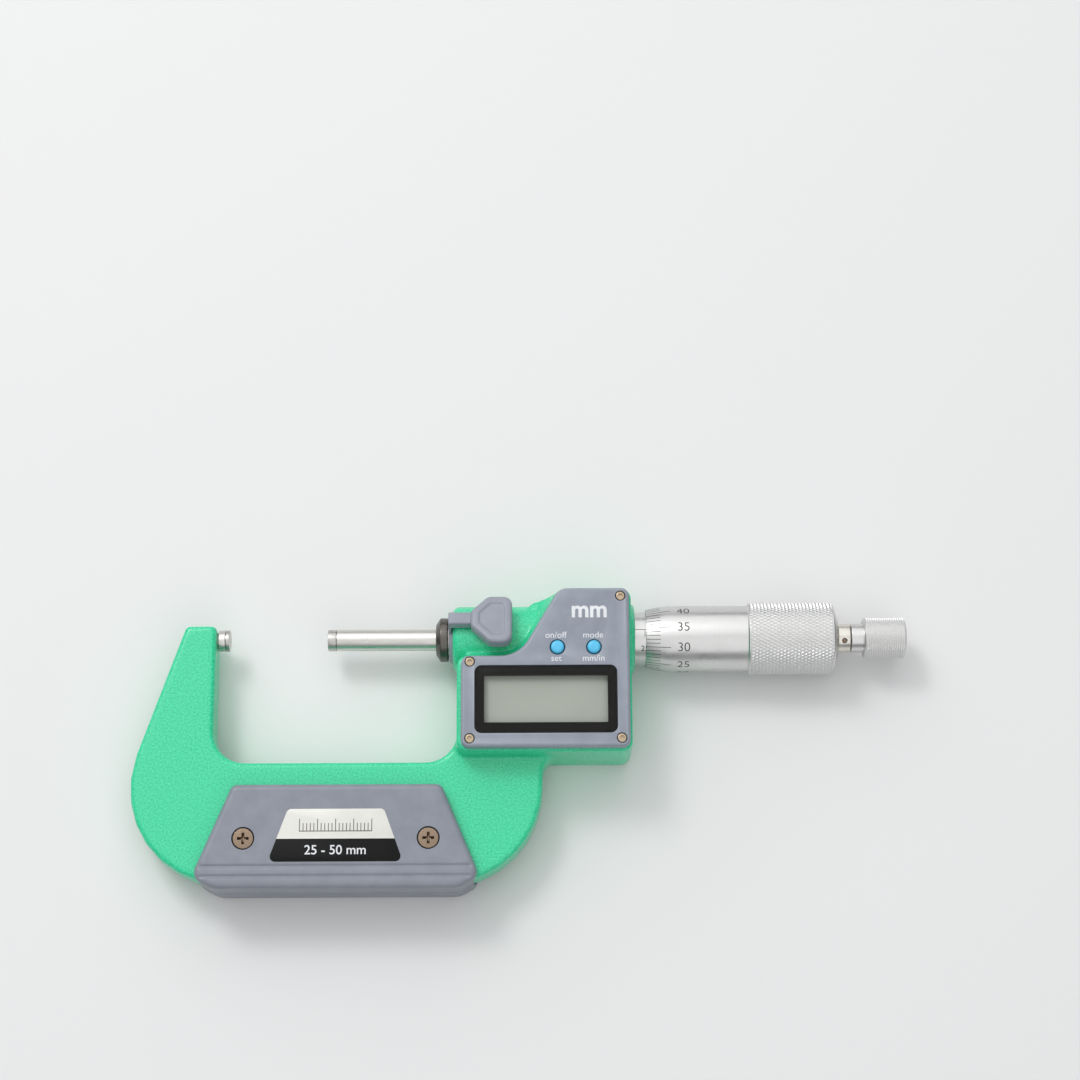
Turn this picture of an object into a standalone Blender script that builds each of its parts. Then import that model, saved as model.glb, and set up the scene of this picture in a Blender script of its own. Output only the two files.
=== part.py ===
# Digital outside micrometer, 25 to 50 mm, set at 25.35 mm.
# Metres. +X runs along the measuring axis from the anvil to the ratchet, +Y is up the bow's back,
# +Z comes out of the display. The origin is the centre of the anvil's measuring face.
import bpy
import bmesh
import math
from mathutils import Vector

# Clearances
SEAT_GAP = 0.0003          # between touching or sliding pieces
SEAL_GAP = 0.00015         # between flat faces that are clamped or glued
CUT_PAST = 0.001           # how far a cutter runs past the face that it opens

# Round pieces
ROUND_STEPS = 40
SMALL_STEPS = 24
TINY_STEPS = 18
ARC_STEP = math.radians(10)
SMALLEST_CORNER = 0.0003

# Measuring axis, all as X positions or radii about the axis
READING = 0.02535
CLOSED_READING = 0.025
OPEN_READING = 0.050
SPINDLE_RADIUS = 0.00275
ANVIL_SHANK_LENGTH = 0.0046
ANVIL_SHANK_RADIUS = 0.0017
TIP_LENGTH = 0.0021
ANVIL_TIP_LENGTH = 0.0010

# Bow
BOW_THICKNESS = 0.0100
BOW_EDGE = 0.0012
ARM_TOP = 0.0030
ARM_TOP_OUTER = -0.0109
ARM_INNER = -0.00305
ARM_CORNER = 0.0013
ARM_SLOPE = 0.3444
BOW_BOTTOM = -0.0636
LOBE_RADIUS = 0.0250
LOBE_RIGHT = 0.08045
GAP_BOTTOM = -0.0327
GAP_RIGHT = 0.05885
GAP_FILLET = 0.0080
HEEL_FILLET = 0.0042

# Display cover, whose outline the housing and the gasket follow
COVER_LEFT = 0.0600
COVER_RIGHT = 0.1025
COVER_BOTTOM = -0.0309
COVER_TOP_EDGE = 0.0101
COVER_SHELF = -0.0074
COVER_SLANT_RUN = 0.0103
LEVER_CLEARANCE = 0.0016
COVER_CORNER = 0.0020
COVER_SLANT_TOP_RADIUS = 0.0036
COVER_SLANT_FOOT_RADIUS = 0.0082
COVER_FACE = 0.0144
COVER_THICKNESS = 0.0022
COVER_EDGE = 0.0009
WINDOW_LEDGE = 0.00055

# Display housing, part of the frame casting
GASKET_THICKNESS = 0.0003
GASKET_INSET = 0.0001
GASKET_WIDTH = 0.0005
HOUSING_SEAT = COVER_FACE - COVER_THICKNESS - GASKET_THICKNESS - 2 * SEAL_GAP
HOUSING_BACK = -0.0093
HOUSING_BACK_EDGE = 0.0019
HOUSING_MARGIN = 0.0006
HEEL_RISE = 0.00005
HOUSING_SIDE_MARGIN = 0.0006
HOUSING_EDGE = 0.0005
FLARE_REACH = 0.0046
FLARE_DROP = 0.0052
FLARE_FOOT = -0.0045
FLARE_STEPS = 6
FLARE_LEDGE = 0.0001
SHOULDER_LEFT = 0.0785
SHOULDER_RADIUS = 0.0040
POCKET_MARGIN = 0.0003
POCKET_FLOOR = -0.0020

# Spindle barrel, part of the frame casting
BARREL_RADIUS = 0.00852
BARREL_LEFT = 0.0575
BARREL_EDGE = 0.0016
NOSE_RADIUS = 0.0089
NOSE_STANDOUT = 0.0011
NOSE_LENGTH = 0.0040
NOSE_EDGE = 0.0008
SLEEVE_SEAT_DEPTH = 0.0030
SLEEVE_SEAT_WALL = 0.0042
ENCODER_LENGTH = 0.0215
ENCODER_BORE = 0.0072

# Display window, screen and buttons
WINDOW_LEFT = 0.0635
WINDOW_RIGHT = 0.0992
WINDOW_BOTTOM = -0.0273
WINDOW_TOP = -0.0101
WINDOW_CORNER = 0.0017
WINDOW_THICKNESS = 0.0012
WINDOW_SINK = 0.0002
SCREEN_BORDER = 0.0012
SCREEN_THICKNESS = 0.0016
BOARD_THICKNESS = 0.0010
BUTTON_Y = -0.0054
BUTTON_FROM_SLANT = 0.0098
BUTTON_PITCH = 0.0092
BUTTON_RADIUS = 0.00168
BUTTON_HOLE = 0.0020
BUTTON_RISE = 0.0007
BUTTON_FLANGE = 0.0025
BUTTON_FLANGE_THICKNESS = 0.0006
BUTTON_DOME = 0.0005
BUTTON_DOME_STEPS = 3
BUTTON_RECESS_FLOOR = 0.0087
BUTTON_RECESS_MARGIN = 0.0038
BUTTON_RECESS_TOP = -0.0008
MEMBRANE_THICKNESS = 0.0004
MEMBRANE_MARGIN = 0.00055

# Cover screws, hexagon socket
COVER_SCREW_INSET = 0.0022
COVER_SCREW_HEAD = 0.00115
COVER_SCREW_SHANK = 0.0007
COVER_SCREW_LENGTH = 0.0062
COVER_SCREW_HEAD_HEIGHT = 0.0011
COVER_SCREW_SINK = 0.0001
COVER_SCREW_SOCKET = 0.00063
COVER_SCREW_SOCKET_DEPTH = 0.00066
COVER_SCREW_TOP_DROP = 0.00165

# Battery
BATTERY_X = 0.0810
BATTERY_Y = -0.0185
BATTERY_RADIUS = 0.0058
BATTERY_HEIGHT = 0.0054
CAP_RADIUS = 0.0070
CAP_FLANGE = 0.0015
CAP_PLUG = 0.0018
SEAL_RING = 0.0007
SEAL_RING_SIDES = 6
CAP_SINK = 0.0002
COIN_SLOT_WIDTH = 0.0015
COIN_SLOT_DEPTH = 0.00075
CONTACT_REACH = 0.0035
CONTACT_WIDTH = 0.0042
CONTACT_THICKNESS = 0.0003

# Insulation plates on the bow
PLATE_CENTRE = 0.0288
PLATE_TOP = -0.0390
PLATE_TOP_HALF = 0.0262
PLATE_SHOULDER = -0.0622
PLATE_SHOULDER_HALF = 0.0359
PLATE_BOTTOM = -0.0652
PLATE_BOTTOM_HALF = 0.0305
PLATE_TOP_CORNER = 0.0020
PLATE_LOW_CORNER = 0.0030
PLATE_BOTTOM_CORNER = 0.0065
PLATE_FACE = 0.0093
PLATE_EDGE = 0.0014
PLATE_GROOVE_UPPER = -0.0597
PLATE_GROOVE_LOWER = -0.0622
PLATE_GROOVE_HALF = 0.0340
PLATE_GROOVE_WIDTH = 0.0006
PLATE_SCREW_HALF = 0.02307
PLATE_SCREW_Y = -0.0527
PLATE_SCREW_HEAD = 0.00258
PLATE_SCREW_SHANK = 0.0015
PLATE_SCREW_LENGTH = 0.0072
PLATE_SCREW_CONE = 0.0013
PLATE_SCREW_RIM = 0.0004
PLATE_SCREW_SINK = 0.0003
PLATE_SCREW_CROSS_ARM = 0.0014
PLATE_SCREW_CROSS_WIDTH = 0.0006
PLATE_SCREW_CROSS_DEPTH = 0.0010
PLATE_CHAMFER_ANGLE = math.radians(38)

# Range label in the front plate
LABEL_TOP = -0.0454
LABEL_BOTTOM = -0.0586
LABEL_TOP_HALF = 0.0120
LABEL_BOTTOM_HALF = 0.0168
LABEL_CORNER = 0.0013
LABEL_THICKNESS = 0.0004
LABEL_PROUD = 0.0001

# Seal nut, bush and lock lever at the barrel's left end
NUT_LEFT = 0.0532
NUT_LENGTH = 0.0031
NUT_RADIUS = 0.00565
NUT_NOSE_RADIUS = 0.0040
NUT_CONE = 0.0011
SEAL_LENGTH = 0.0010
NUT_LIP = 0.0008
NUT_RECESS_RADIUS = 0.0043
BUSH_RADIUS = 0.0049
BUSH_CLEARANCE = 0.0015
LEVER_PLATE = 0.0007
LEVER_HUB_LENGTH = 0.0036
LEVER_HUB_WALL = 0.0012
LEVER_ANGLE = math.radians(16)
LEVER_STEM_TOP = 0.0116
LEVER_STEM_THICKNESS = 0.0019
LEVER_STEM_WIDTH = 0.0035
LEVER_PAD_FACE = 0.0134
LEVER_PAD_THICKNESS = 0.0032
LEVER_PAD_LEFT = 0.0624
LEVER_PAD_WIDTH = 0.0105
LEVER_PAD_LOW = -0.0080
LEVER_PAD_HIGH = 0.0054
LEVER_PAD_SLOPE = 0.0042
LEVER_PAD_LOW_SLOPE = 0.0048
LEVER_PAD_CORNER = 0.0024
LEVER_PAD_EDGE = 0.0009
LEVER_DISH_INSET = 0.0021
LEVER_PAD_END_CORNER = 0.0012
LEVER_DISH_DEPTH = 0.0003

# Encoder
ROTOR_CLEARANCE = 0.0015
ROTOR_LENGTH = 0.0130
ROTOR_HUB = 0.0043
ROTOR_DISC = 0.0063
ROTOR_DISC_THICKNESS = 0.0012
ROTOR_DISC_AT = 0.0085
STATOR_THICKNESS = 0.0014
KEY_WIDTH = 0.0007
KEY_LENGTH = 0.0050
KEY_DEPTH = 0.00035
KEYWAY_DEPTH = 0.0010

# Sleeves and thimble
SLEEVE_RADIUS = 0.00684
SLEEVE_WALL = 0.00055
SLEEVE_RIGHT = 0.1368
INNER_SLEEVE_RIGHT = 0.1420
INNER_SLEEVE_BORE = 0.0040
NUT_THREAD_LEFT = 0.1290
THREAD_RADIUS = 0.00325
ADJUSTER_LENGTH = 0.0040
ADJUSTER_WALL = 0.0009
ADJUSTER_SEAT = 0.0007
SLOT_WIDTH = 0.0008
THIMBLE_LEFT = 0.1071
THIMBLE_FRONT_RADIUS = 0.0075
THIMBLE_TAPER = 0.0056
THIMBLE_RADIUS = 0.0085
GRIP_LEFT = 0.1331
GRIP_RIGHT = 0.1552
GRIP_RADIUS = 0.0091
GRIP_CHAMFER = 0.0005
THIMBLE_RIGHT = 0.1563
THIMBLE_END_RADIUS = 0.0058
THIMBLE_WEB = 0.0050
TANG_RADIUS = 0.0030

# Ratchet
NECK_LENGTH = 0.0031
NECK_RADIUS = 0.0037
NECK_WALL = 0.0014
NECK_END_WALL = 0.0007
NECK_HOLE = 0.0007
NECK_HOLE_ANGLE = math.radians(23)
KNOB_COLLAR = 0.0032
KNOB_LENGTH = 0.0111
KNOB_RADIUS = 0.0052
KNOB_CHAMFER = 0.0007
KNOB_CROWN = 0.0003
KNOB_WALL = 0.0008
KNOB_END_WALL = 0.0037
STUD_RADIUS = 0.0010
STUD_HEAD = 0.0024
STUD_HEAD_LENGTH = 0.0016
CLICK_WASHER = 0.0012
SPRING_WIRE = 0.0005
SPRING_TURNS = 5
SPRING_POINTS_PER_TURN = 12

for old in list(bpy.data.objects):
    bpy.data.objects.remove(old, do_unlink=True)

model = bpy.data.collections.new("digital_outside_micrometer")
cutters = bpy.data.collections.new("cutters")
bpy.context.scene.collection.children.link(model)
bpy.context.scene.collection.children.link(cutters)


def finish(name, colour, roughness, metallic):
    """A plain material for one kind of surface."""
    material = bpy.data.materials.new(name)
    material.use_nodes = True
    shader = material.node_tree.nodes["Principled BSDF"]
    shader.inputs["Base Color"].default_value = (*colour, 1.0)
    shader.inputs["Roughness"].default_value = roughness
    shader.inputs["Metallic"].default_value = metallic
    return material


GREEN_ENAMEL = finish("green_enamel", (0.05, 0.55, 0.30), 0.35, 0.0)
GREY_PLASTIC = finish("grey_plastic", (0.30, 0.33, 0.40), 0.45, 0.0)
SATIN_CHROME = finish("satin_chrome", (0.75, 0.75, 0.75), 0.35, 1.0)
GROUND_STEEL = finish("ground_steel", (0.65, 0.64, 0.62), 0.25, 1.0)
CARBIDE = finish("carbide", (0.45, 0.45, 0.46), 0.30, 1.0)
DARK_STEEL = finish("dark_steel", (0.10, 0.10, 0.10), 0.35, 1.0)
SCREW_STEEL = finish("bronzed_screw_steel", (0.35, 0.27, 0.20), 0.35, 1.0)
BLACK_RUBBER = finish("black_rubber", (0.02, 0.02, 0.02), 0.80, 0.0)
WINDOW_PLASTIC = finish("window_plastic", (0.02, 0.02, 0.02), 0.10, 0.0)
SCREEN_GLASS = finish("screen_glass", (0.42, 0.45, 0.38), 0.20, 0.0)
BUTTON_BLUE = finish("blue_button_plastic", (0.05, 0.40, 0.85), 0.35, 0.0)
BOARD_GREEN = finish("circuit_board", (0.01, 0.15, 0.06), 0.50, 0.0)
LABEL_FOIL = finish("label_foil", (0.85, 0.85, 0.82), 0.40, 0.0)
BRASS = finish("brass", (0.70, 0.50, 0.22), 0.30, 1.0)


def place(name, mesh, material=None):
    """Put a mesh in the model, or among the cutters if it has no material."""
    piece = bpy.data.objects.new(name, mesh)
    if material is None:
        cutters.objects.link(piece)
        piece.hide_render = True
        piece.display_type = "WIRE"
    else:
        model.objects.link(piece)
        mesh.materials.append(material)
    return piece


def baked(piece):
    """The mesh of a piece with its modifiers or its curve settings worked in."""
    bpy.context.view_layer.update()
    depsgraph = bpy.context.evaluated_depsgraph_get()
    return bpy.data.meshes.new_from_object(piece.evaluated_get(depsgraph))


def fitted(corners):
    """The same corners, with each radius that is too long for the straights beside it shortened to fit."""
    count = len(corners)
    reaches = []
    for index, (x, y, radius) in enumerate(corners):
        corner = Vector((x, y))
        before = Vector(corners[index - 1][:2]) - corner
        after = Vector(corners[(index + 1) % count][:2]) - corner
        reaches.append(radius / math.tan(before.angle(after) / 2))
    shares = []
    for index, (x, y, radius) in enumerate(corners):
        straight = (Vector(corners[(index + 1) % count][:2]) - Vector((x, y))).length
        taken = reaches[index] + reaches[(index + 1) % count]
        shares.append(straight / taken if taken > straight else 1.0)
    return [(x, y, radius * min(shares[index - 1], shares[index]))
            for index, (x, y, radius) in enumerate(corners)]


def rounded(corners):
    """An outline through corners (x, y, radius), with each corner an arc of its radius."""
    points = []
    count = len(corners)
    corners = fitted(corners)
    for index, (x, y, radius) in enumerate(corners):
        corner = Vector((x, y))
        before = Vector(corners[index - 1][:2]) - corner
        after = Vector(corners[(index + 1) % count][:2]) - corner
        if radius == 0.0:
            points.append(corner)
            continue
        half_angle = before.angle(after) / 2
        middle = (before.normalized() + after.normalized()).normalized()
        centre = corner + middle * (radius / math.sin(half_angle))
        start = corner + before.normalized() * (radius / math.tan(half_angle)) - centre
        end = corner + after.normalized() * (radius / math.tan(half_angle)) - centre
        turn = math.atan2(start.x * end.y - start.y * end.x, start.dot(end))
        steps = max(2, round(abs(turn) / ARC_STEP))
        for step in range(steps + 1):
            angle = turn * step / steps
            points.append(centre + Vector((start.x * math.cos(angle) - start.y * math.sin(angle),
                                           start.x * math.sin(angle) + start.y * math.cos(angle))))
    return points


def grown(corners, margin):
    """The same corners moved outward by a margin, for an outline that runs anticlockwise."""
    moved = []
    count = len(corners)
    for index, (x, y, radius) in enumerate(corners):
        corner = Vector((x, y))
        come = (corner - Vector(corners[index - 1][:2])).normalized()
        leave = (Vector(corners[(index + 1) % count][:2]) - corner).normalized()
        turn = come.x * leave.y - come.y * leave.x
        normals = Vector((come.y, -come.x)) + Vector((leave.y, -leave.x))
        shift = normals * (margin / (1 + come.dot(leave)))
        new_radius = 0.0
        if radius > 0.0:
            new_radius = max(radius + margin * math.copysign(1, turn), SMALLEST_CORNER)
        moved.append((x + shift.x, y + shift.y, new_radius))
    return moved


def slab(name, points, low, high, material=None):
    """A flat outline given thickness from one height to another."""
    curve = bpy.data.curves.new(name, "CURVE")
    curve.dimensions = "2D"
    curve.fill_mode = "BOTH"
    curve.extrude = (high - low) / 2
    spline = curve.splines.new("POLY")
    spline.points.add(len(points) - 1)
    for point, place_2d in zip(spline.points, points):
        point.co = (place_2d[0], place_2d[1], 0, 1)
    spline.use_cyclic_u = True
    guide = bpy.data.objects.new(name, curve)
    model.objects.link(guide)
    mesh = baked(guide)
    bpy.data.objects.remove(guide, do_unlink=True)
    solid = bmesh.new()
    solid.from_mesh(mesh)
    bmesh.ops.remove_doubles(solid, verts=solid.verts, dist=1e-7)
    bmesh.ops.translate(solid, verts=solid.verts, vec=(0, 0, (high + low) / 2))
    bmesh.ops.dissolve_limit(solid, angle_limit=math.radians(0.5), verts=solid.verts, edges=solid.edges)
    bmesh.ops.recalc_face_normals(solid, faces=solid.faces)
    solid.to_mesh(mesh)
    solid.free()
    mesh.name = name
    return place(name, mesh, material)


def block(name, low, high, material=None):
    """A rectangular block between two corners."""
    low = Vector(low)
    high = Vector(high)
    solid = bmesh.new()
    bmesh.ops.create_cube(solid, size=1.0)
    bmesh.ops.scale(solid, verts=solid.verts, vec=high - low)
    bmesh.ops.translate(solid, verts=solid.verts, vec=(low + high) / 2)
    mesh = bpy.data.meshes.new(name)
    solid.to_mesh(mesh)
    solid.free()
    return place(name, mesh, material)


def turned(name, profile, steps=ROUND_STEPS, material=None, closed=False):
    """A profile of (radius, height) turned round the object's own Z, outer side listed downwards."""
    mesh = bpy.data.meshes.new(name)
    links = [(index, index + 1) for index in range(len(profile) - 1)]
    if closed:
        links.append((len(profile) - 1, 0))
    mesh.from_pydata([(radius, 0, height) for radius, height in profile], links, [])
    piece = place(name, mesh, material)
    screw = piece.modifiers.new("turn", "SCREW")
    screw.steps = steps
    screw.render_steps = steps
    screw.use_merge_vertices = True
    screw.merge_threshold = 1e-6
    screw.use_normal_calculate = False
    return piece


def on_axis(piece):
    """Lay a turned piece along the measuring axis, its heights becoming X positions."""
    piece.rotation_euler = (0, math.radians(90), 0)
    return piece


def rod(name, left, right, radius, steps=ROUND_STEPS, material=None):
    """A plain round bar on the measuring axis."""
    return on_axis(turned(name, [(0, right), (radius, right), (radius, left), (0, left)], steps, material))


def pipe(name, left, right, inner, outer, steps=ROUND_STEPS, material=None):
    """A plain tube on the measuring axis."""
    profile = [(outer, right), (outer, left), (inner, left), (inner, right)]
    return on_axis(turned(name, profile, steps, material, closed=True))


def bevel(piece, width, segments=2, angle=50):
    """Round the sharp edges of a piece."""
    modifier = piece.modifiers.new("edges", "BEVEL")
    modifier.width = width
    modifier.segments = segments
    modifier.limit_method = "ANGLE"
    modifier.angle_limit = math.radians(angle)
    return piece


def combine(piece, other, operation):
    """Add one Boolean to a piece; the other solid stays among the cutters."""
    modifier = piece.modifiers.new(other.name, "BOOLEAN")
    modifier.operation = operation
    modifier.object = other
    modifier.solver = "EXACT"
    return piece


def cut(piece, *tools):
    for tool in tools:
        combine(piece, tool, "DIFFERENCE")
    return piece


def fuse(piece, *others):
    for other in others:
        combine(piece, other, "UNION")
    return piece


def smooth(piece, angle=35):
    """Shade the round faces of a piece smooth and keep its edges sharp."""
    piece.data.shade_smooth()
    piece.data.set_sharp_from_angle(angle=math.radians(angle))
    return piece


def cover_corners():
    return [(COVER_LEFT, COVER_BOTTOM, COVER_CORNER),
            (COVER_RIGHT, COVER_BOTTOM, COVER_CORNER),
            (COVER_RIGHT, COVER_TOP_EDGE, COVER_CORNER),
            (COVER_SLANT_TOP, COVER_TOP_EDGE, COVER_SLANT_TOP_RADIUS),
            (COVER_SLANT_FOOT, COVER_SHELF, COVER_SLANT_FOOT_RADIUS),
            (COVER_LEFT, COVER_SHELF, COVER_CORNER)]


def housing_corners():
    """The housing follows the cover, with a wider ledge on its left side."""
    corners = grown(cover_corners(), HOUSING_MARGIN)
    left = COVER_LEFT - HOUSING_MARGIN - HOUSING_SIDE_MARGIN
    corners[0] = (left, corners[0][1], corners[0][2])
    corners[-1] = (left, corners[-1][1], corners[-1][2])
    return corners


def window_corners():
    return [(WINDOW_LEFT, WINDOW_BOTTOM, WINDOW_CORNER), (WINDOW_RIGHT, WINDOW_BOTTOM, WINDOW_CORNER),
            (WINDOW_RIGHT, WINDOW_TOP, WINDOW_CORNER), (WINDOW_LEFT, WINDOW_TOP, WINDOW_CORNER)]


def bow_corners():
    """Arm, two round lobes and the bay between them; the right end runs into the housing."""
    slope_foot = ARM_TOP_OUTER - ARM_SLOPE * (ARM_TOP - BOW_BOTTOM)
    hidden_right = (LOBE_RIGHT + COVER_RIGHT) / 2
    hidden_top = WINDOW_BOTTOM
    heel = COVER_BOTTOM - HOUSING_MARGIN + HEEL_RISE
    return [(ARM_TOP_OUTER, ARM_TOP, ARM_CORNER),
            (slope_foot, BOW_BOTTOM, LOBE_RADIUS),
            (LOBE_RIGHT, BOW_BOTTOM, LOBE_RADIUS),
            (LOBE_RIGHT, heel, HEEL_FILLET),
            (hidden_right, heel, 0.0),
            (hidden_right, hidden_top, 0.0),
            (GAP_RIGHT + COVER_CORNER, hidden_top, 0.0),
            (GAP_RIGHT + COVER_CORNER, GAP_BOTTOM + GAP_FILLET + CUT_PAST, 0.0),
            (GAP_RIGHT, GAP_BOTTOM + GAP_FILLET + CUT_PAST, 0.0),
            (GAP_RIGHT, GAP_BOTTOM, GAP_FILLET),
            (ARM_INNER, GAP_BOTTOM, GAP_FILLET),
            (ARM_INNER, ARM_TOP, ARM_CORNER)]


def plate_corners():
    return [(PLATE_CENTRE - PLATE_BOTTOM_HALF, PLATE_BOTTOM, PLATE_BOTTOM_CORNER),
            (PLATE_CENTRE + PLATE_BOTTOM_HALF, PLATE_BOTTOM, PLATE_BOTTOM_CORNER),
            (PLATE_CENTRE + PLATE_SHOULDER_HALF, PLATE_SHOULDER, PLATE_LOW_CORNER),
            (PLATE_CENTRE + PLATE_TOP_HALF, PLATE_TOP, PLATE_TOP_CORNER),
            (PLATE_CENTRE - PLATE_TOP_HALF, PLATE_TOP, PLATE_TOP_CORNER),
            (PLATE_CENTRE - PLATE_SHOULDER_HALF, PLATE_SHOULDER, PLATE_LOW_CORNER)]


def label_corners():
    return [(PLATE_CENTRE - LABEL_BOTTOM_HALF, LABEL_BOTTOM, LABEL_CORNER),
            (PLATE_CENTRE + LABEL_BOTTOM_HALF, LABEL_BOTTOM, LABEL_CORNER),
            (PLATE_CENTRE + LABEL_TOP_HALF, LABEL_TOP, LABEL_CORNER),
            (PLATE_CENTRE - LABEL_TOP_HALF, LABEL_TOP, LABEL_CORNER)]


def cover_screw_places():
    right = COVER_RIGHT - COVER_SCREW_INSET
    left = COVER_LEFT + COVER_SCREW_INSET
    return [(left, COVER_SHELF - COVER_SCREW_TOP_DROP),
            (left, COVER_BOTTOM + COVER_SCREW_INSET),
            (right, COVER_BOTTOM + COVER_SCREW_INSET),
            (right, COVER_TOP_EDGE - COVER_SCREW_INSET)]


def plate_screw_places():
    return [(PLATE_CENTRE - PLATE_SCREW_HALF, PLATE_SCREW_Y), (PLATE_CENTRE + PLATE_SCREW_HALF, PLATE_SCREW_Y)]


def button_places():
    return [(BUTTON_LEFT, BUTTON_Y), (BUTTON_RIGHT, BUTTON_Y)]


def upright(name, place_xy, profile, steps=SMALL_STEPS, material=None):
    """A piece turned about its own vertical axis, standing at a place on the face."""
    piece = turned(name, profile, steps, material)
    piece.location = (place_xy[0], place_xy[1], 0)
    return piece


def drill(name, place_xy, radius, low, high, steps=SMALL_STEPS):
    return upright(name, place_xy, [(0, high), (radius, high), (radius, low), (0, low)], steps)


def flare():
    """The hollow sweep from the barrel up to the cover's slanted edge."""
    height = HOUSING_SEAT - HOUSING_EDGE - SEAL_GAP
    edge = rounded(housing_corners())
    section = [(-COVER_CORNER, 0.0)]
    for step in range(FLARE_STEPS + 1):
        angle = math.radians(90) * step / FLARE_STEPS
        section.append((FLARE_LEDGE + FLARE_REACH * (1 - math.cos(angle)), -FLARE_DROP * math.sin(angle)))
    section.append((FLARE_LEDGE + FLARE_REACH, FLARE_FOOT - height))
    section.append((-COVER_CORNER, FLARE_FOOT - height))
    solid = bmesh.new()
    rings = []
    for index, corner in enumerate(edge):
        point = (corner + edge[index - 1]) / 2
        inside = COVER_LEFT + COVER_CORNER < point.x < COVER_SLANT_TOP + COVER_CORNER
        if not inside or point.y < COVER_SHELF:
            continue
        along = (corner - edge[index - 1]).normalized()
        outward = Vector((along.y, -along.x))
        rings.append([solid.verts.new((point.x + outward.x * across, point.y + outward.y * across,
                                       height + up)) for across, up in section])
    for ring, following in zip(rings, rings[1:]):
        for corner in range(len(section)):
            solid.faces.new((ring[corner - 1], ring[corner], following[corner], following[corner - 1]))
    solid.faces.new(rings[0])
    solid.faces.new(rings[-1])
    bmesh.ops.recalc_face_normals(solid, faces=solid.faces)
    mesh = bpy.data.meshes.new("flare")
    solid.to_mesh(mesh)
    solid.free()
    return place("flare", mesh)


def round_rim(piece, height, width, segments=2):
    """Round the rim that a slab has at one height."""
    solid = bmesh.new()
    solid.from_mesh(piece.data)
    rim = [edge for edge in solid.edges
           if all(abs(vertex.co.z - height) < 1e-6 for vertex in edge.verts)
           and edge.calc_face_angle(0.0) > math.radians(60)]
    bmesh.ops.bevel(solid, geom=rim, offset=width, offset_type="OFFSET", segments=segments,
                    profile=0.5, affect="EDGES", clamp_overlap=False)
    solid.to_mesh(piece.data)
    solid.free()
    return piece


def quarter(radius_centre, height_centre, size, start, end, steps=4):
    """Points of a rounded edge in a turned profile, between two angles in degrees."""
    points = []
    for step in range(steps + 1):
        angle = math.radians(start + (end - start) * step / steps)
        points.append((radius_centre + size * math.cos(angle), height_centre + size * math.sin(angle)))
    return points


# The cover's slanted edge keeps clear of the lever's pad, and the buttons keep their place beside it
LEVER_PAD_RIGHT = LEVER_PAD_LEFT + LEVER_PAD_WIDTH
COVER_SLANT_FOOT = LEVER_PAD_RIGHT + LEVER_CLEARANCE
COVER_SLANT_TOP = COVER_SLANT_FOOT + COVER_SLANT_RUN
BUTTON_LEFT = COVER_SLANT_FOOT + BUTTON_FROM_SLANT
BUTTON_RIGHT = BUTTON_LEFT + BUTTON_PITCH
BUTTON_RECESS_LEFT = BUTTON_LEFT - BUTTON_RECESS_MARGIN
BUTTON_RECESS_RIGHT = BUTTON_RIGHT + BUTTON_RECESS_MARGIN

# Places that several pieces share along the measuring axis; the barrel is bored from its nose inward
NOSE_RIGHT = COVER_RIGHT + HOUSING_MARGIN + NOSE_STANDOUT
SLEEVE_SEAT = NOSE_RIGHT - SLEEVE_SEAT_DEPTH
ENCODER_RIGHT = SLEEVE_SEAT - SLEEVE_SEAT_WALL
ENCODER_LEFT = ENCODER_RIGHT - ENCODER_LENGTH
ROTOR_LEFT = ENCODER_LEFT + ROTOR_CLEARANCE
BUSH_RIGHT = ENCODER_LEFT - BUSH_CLEARANCE
LEVER_LEFT = NUT_LEFT + NUT_LENGTH + SEAT_GAP
HUB_BORE = BUSH_RADIUS + SEAT_GAP
HUB_RADIUS = HUB_BORE + LEVER_HUB_WALL
HUB_RIGHT = LEVER_LEFT + LEVER_PLATE + LEVER_HUB_LENGTH
INNER_SLEEVE_RADIUS = SLEEVE_RADIUS - SLEEVE_WALL - SEAT_GAP
SPINDLE_BORE = SPINDLE_RADIUS + SEAT_GAP
THIMBLE_BORE = SLEEVE_RADIUS + SEAT_GAP
NECK_LEFT = THIMBLE_RIGHT + SEAT_GAP
NECK_RIGHT = NECK_LEFT + NECK_LENGTH
KNOB_LEFT = NECK_RIGHT + SEAT_GAP
KNOB_RIGHT = KNOB_LEFT + KNOB_COLLAR + KNOB_LENGTH
SPRING_RADIUS = NECK_RADIUS - KNOB_WALL - 2 * SEAT_GAP - SPRING_WIRE

# Heights that the pieces under the cover share
COVER_UNDERSIDE = COVER_FACE - COVER_THICKNESS
SCREEN_FACE = COVER_UNDERSIDE - SEAT_GAP
BOARD_FACE = SCREEN_FACE - SCREEN_THICKNESS - SEAT_GAP
CAP_BACK = HOUSING_BACK + CAP_SINK
CAP_STEP = CAP_BACK + CAP_FLANGE + 2 * SEAT_GAP + SEAL_RING
BATTERY_FOOT = CAP_BACK + CAP_FLANGE + CAP_PLUG + SEAT_GAP
BATTERY_HOLE = BATTERY_RADIUS + 2 * SEAT_GAP
BATTERY_PLACE = (BATTERY_X, BATTERY_Y)


def barrel():
    """The round body about the spindle, with a rounded left end and a thicker nose."""
    profile = [(0, NOSE_RIGHT)]
    profile += quarter(NOSE_RADIUS - NOSE_EDGE, NOSE_RIGHT - NOSE_EDGE, NOSE_EDGE, 90, 0)
    profile += [(NOSE_RADIUS, NOSE_RIGHT - NOSE_LENGTH), (BARREL_RADIUS, NOSE_RIGHT - 2 * NOSE_LENGTH)]
    profile += quarter(BARREL_RADIUS - BARREL_EDGE, BARREL_LEFT + BARREL_EDGE, BARREL_EDGE, 0, -90)
    profile += [(0, BARREL_LEFT)]
    return on_axis(turned("barrel", profile))


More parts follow.
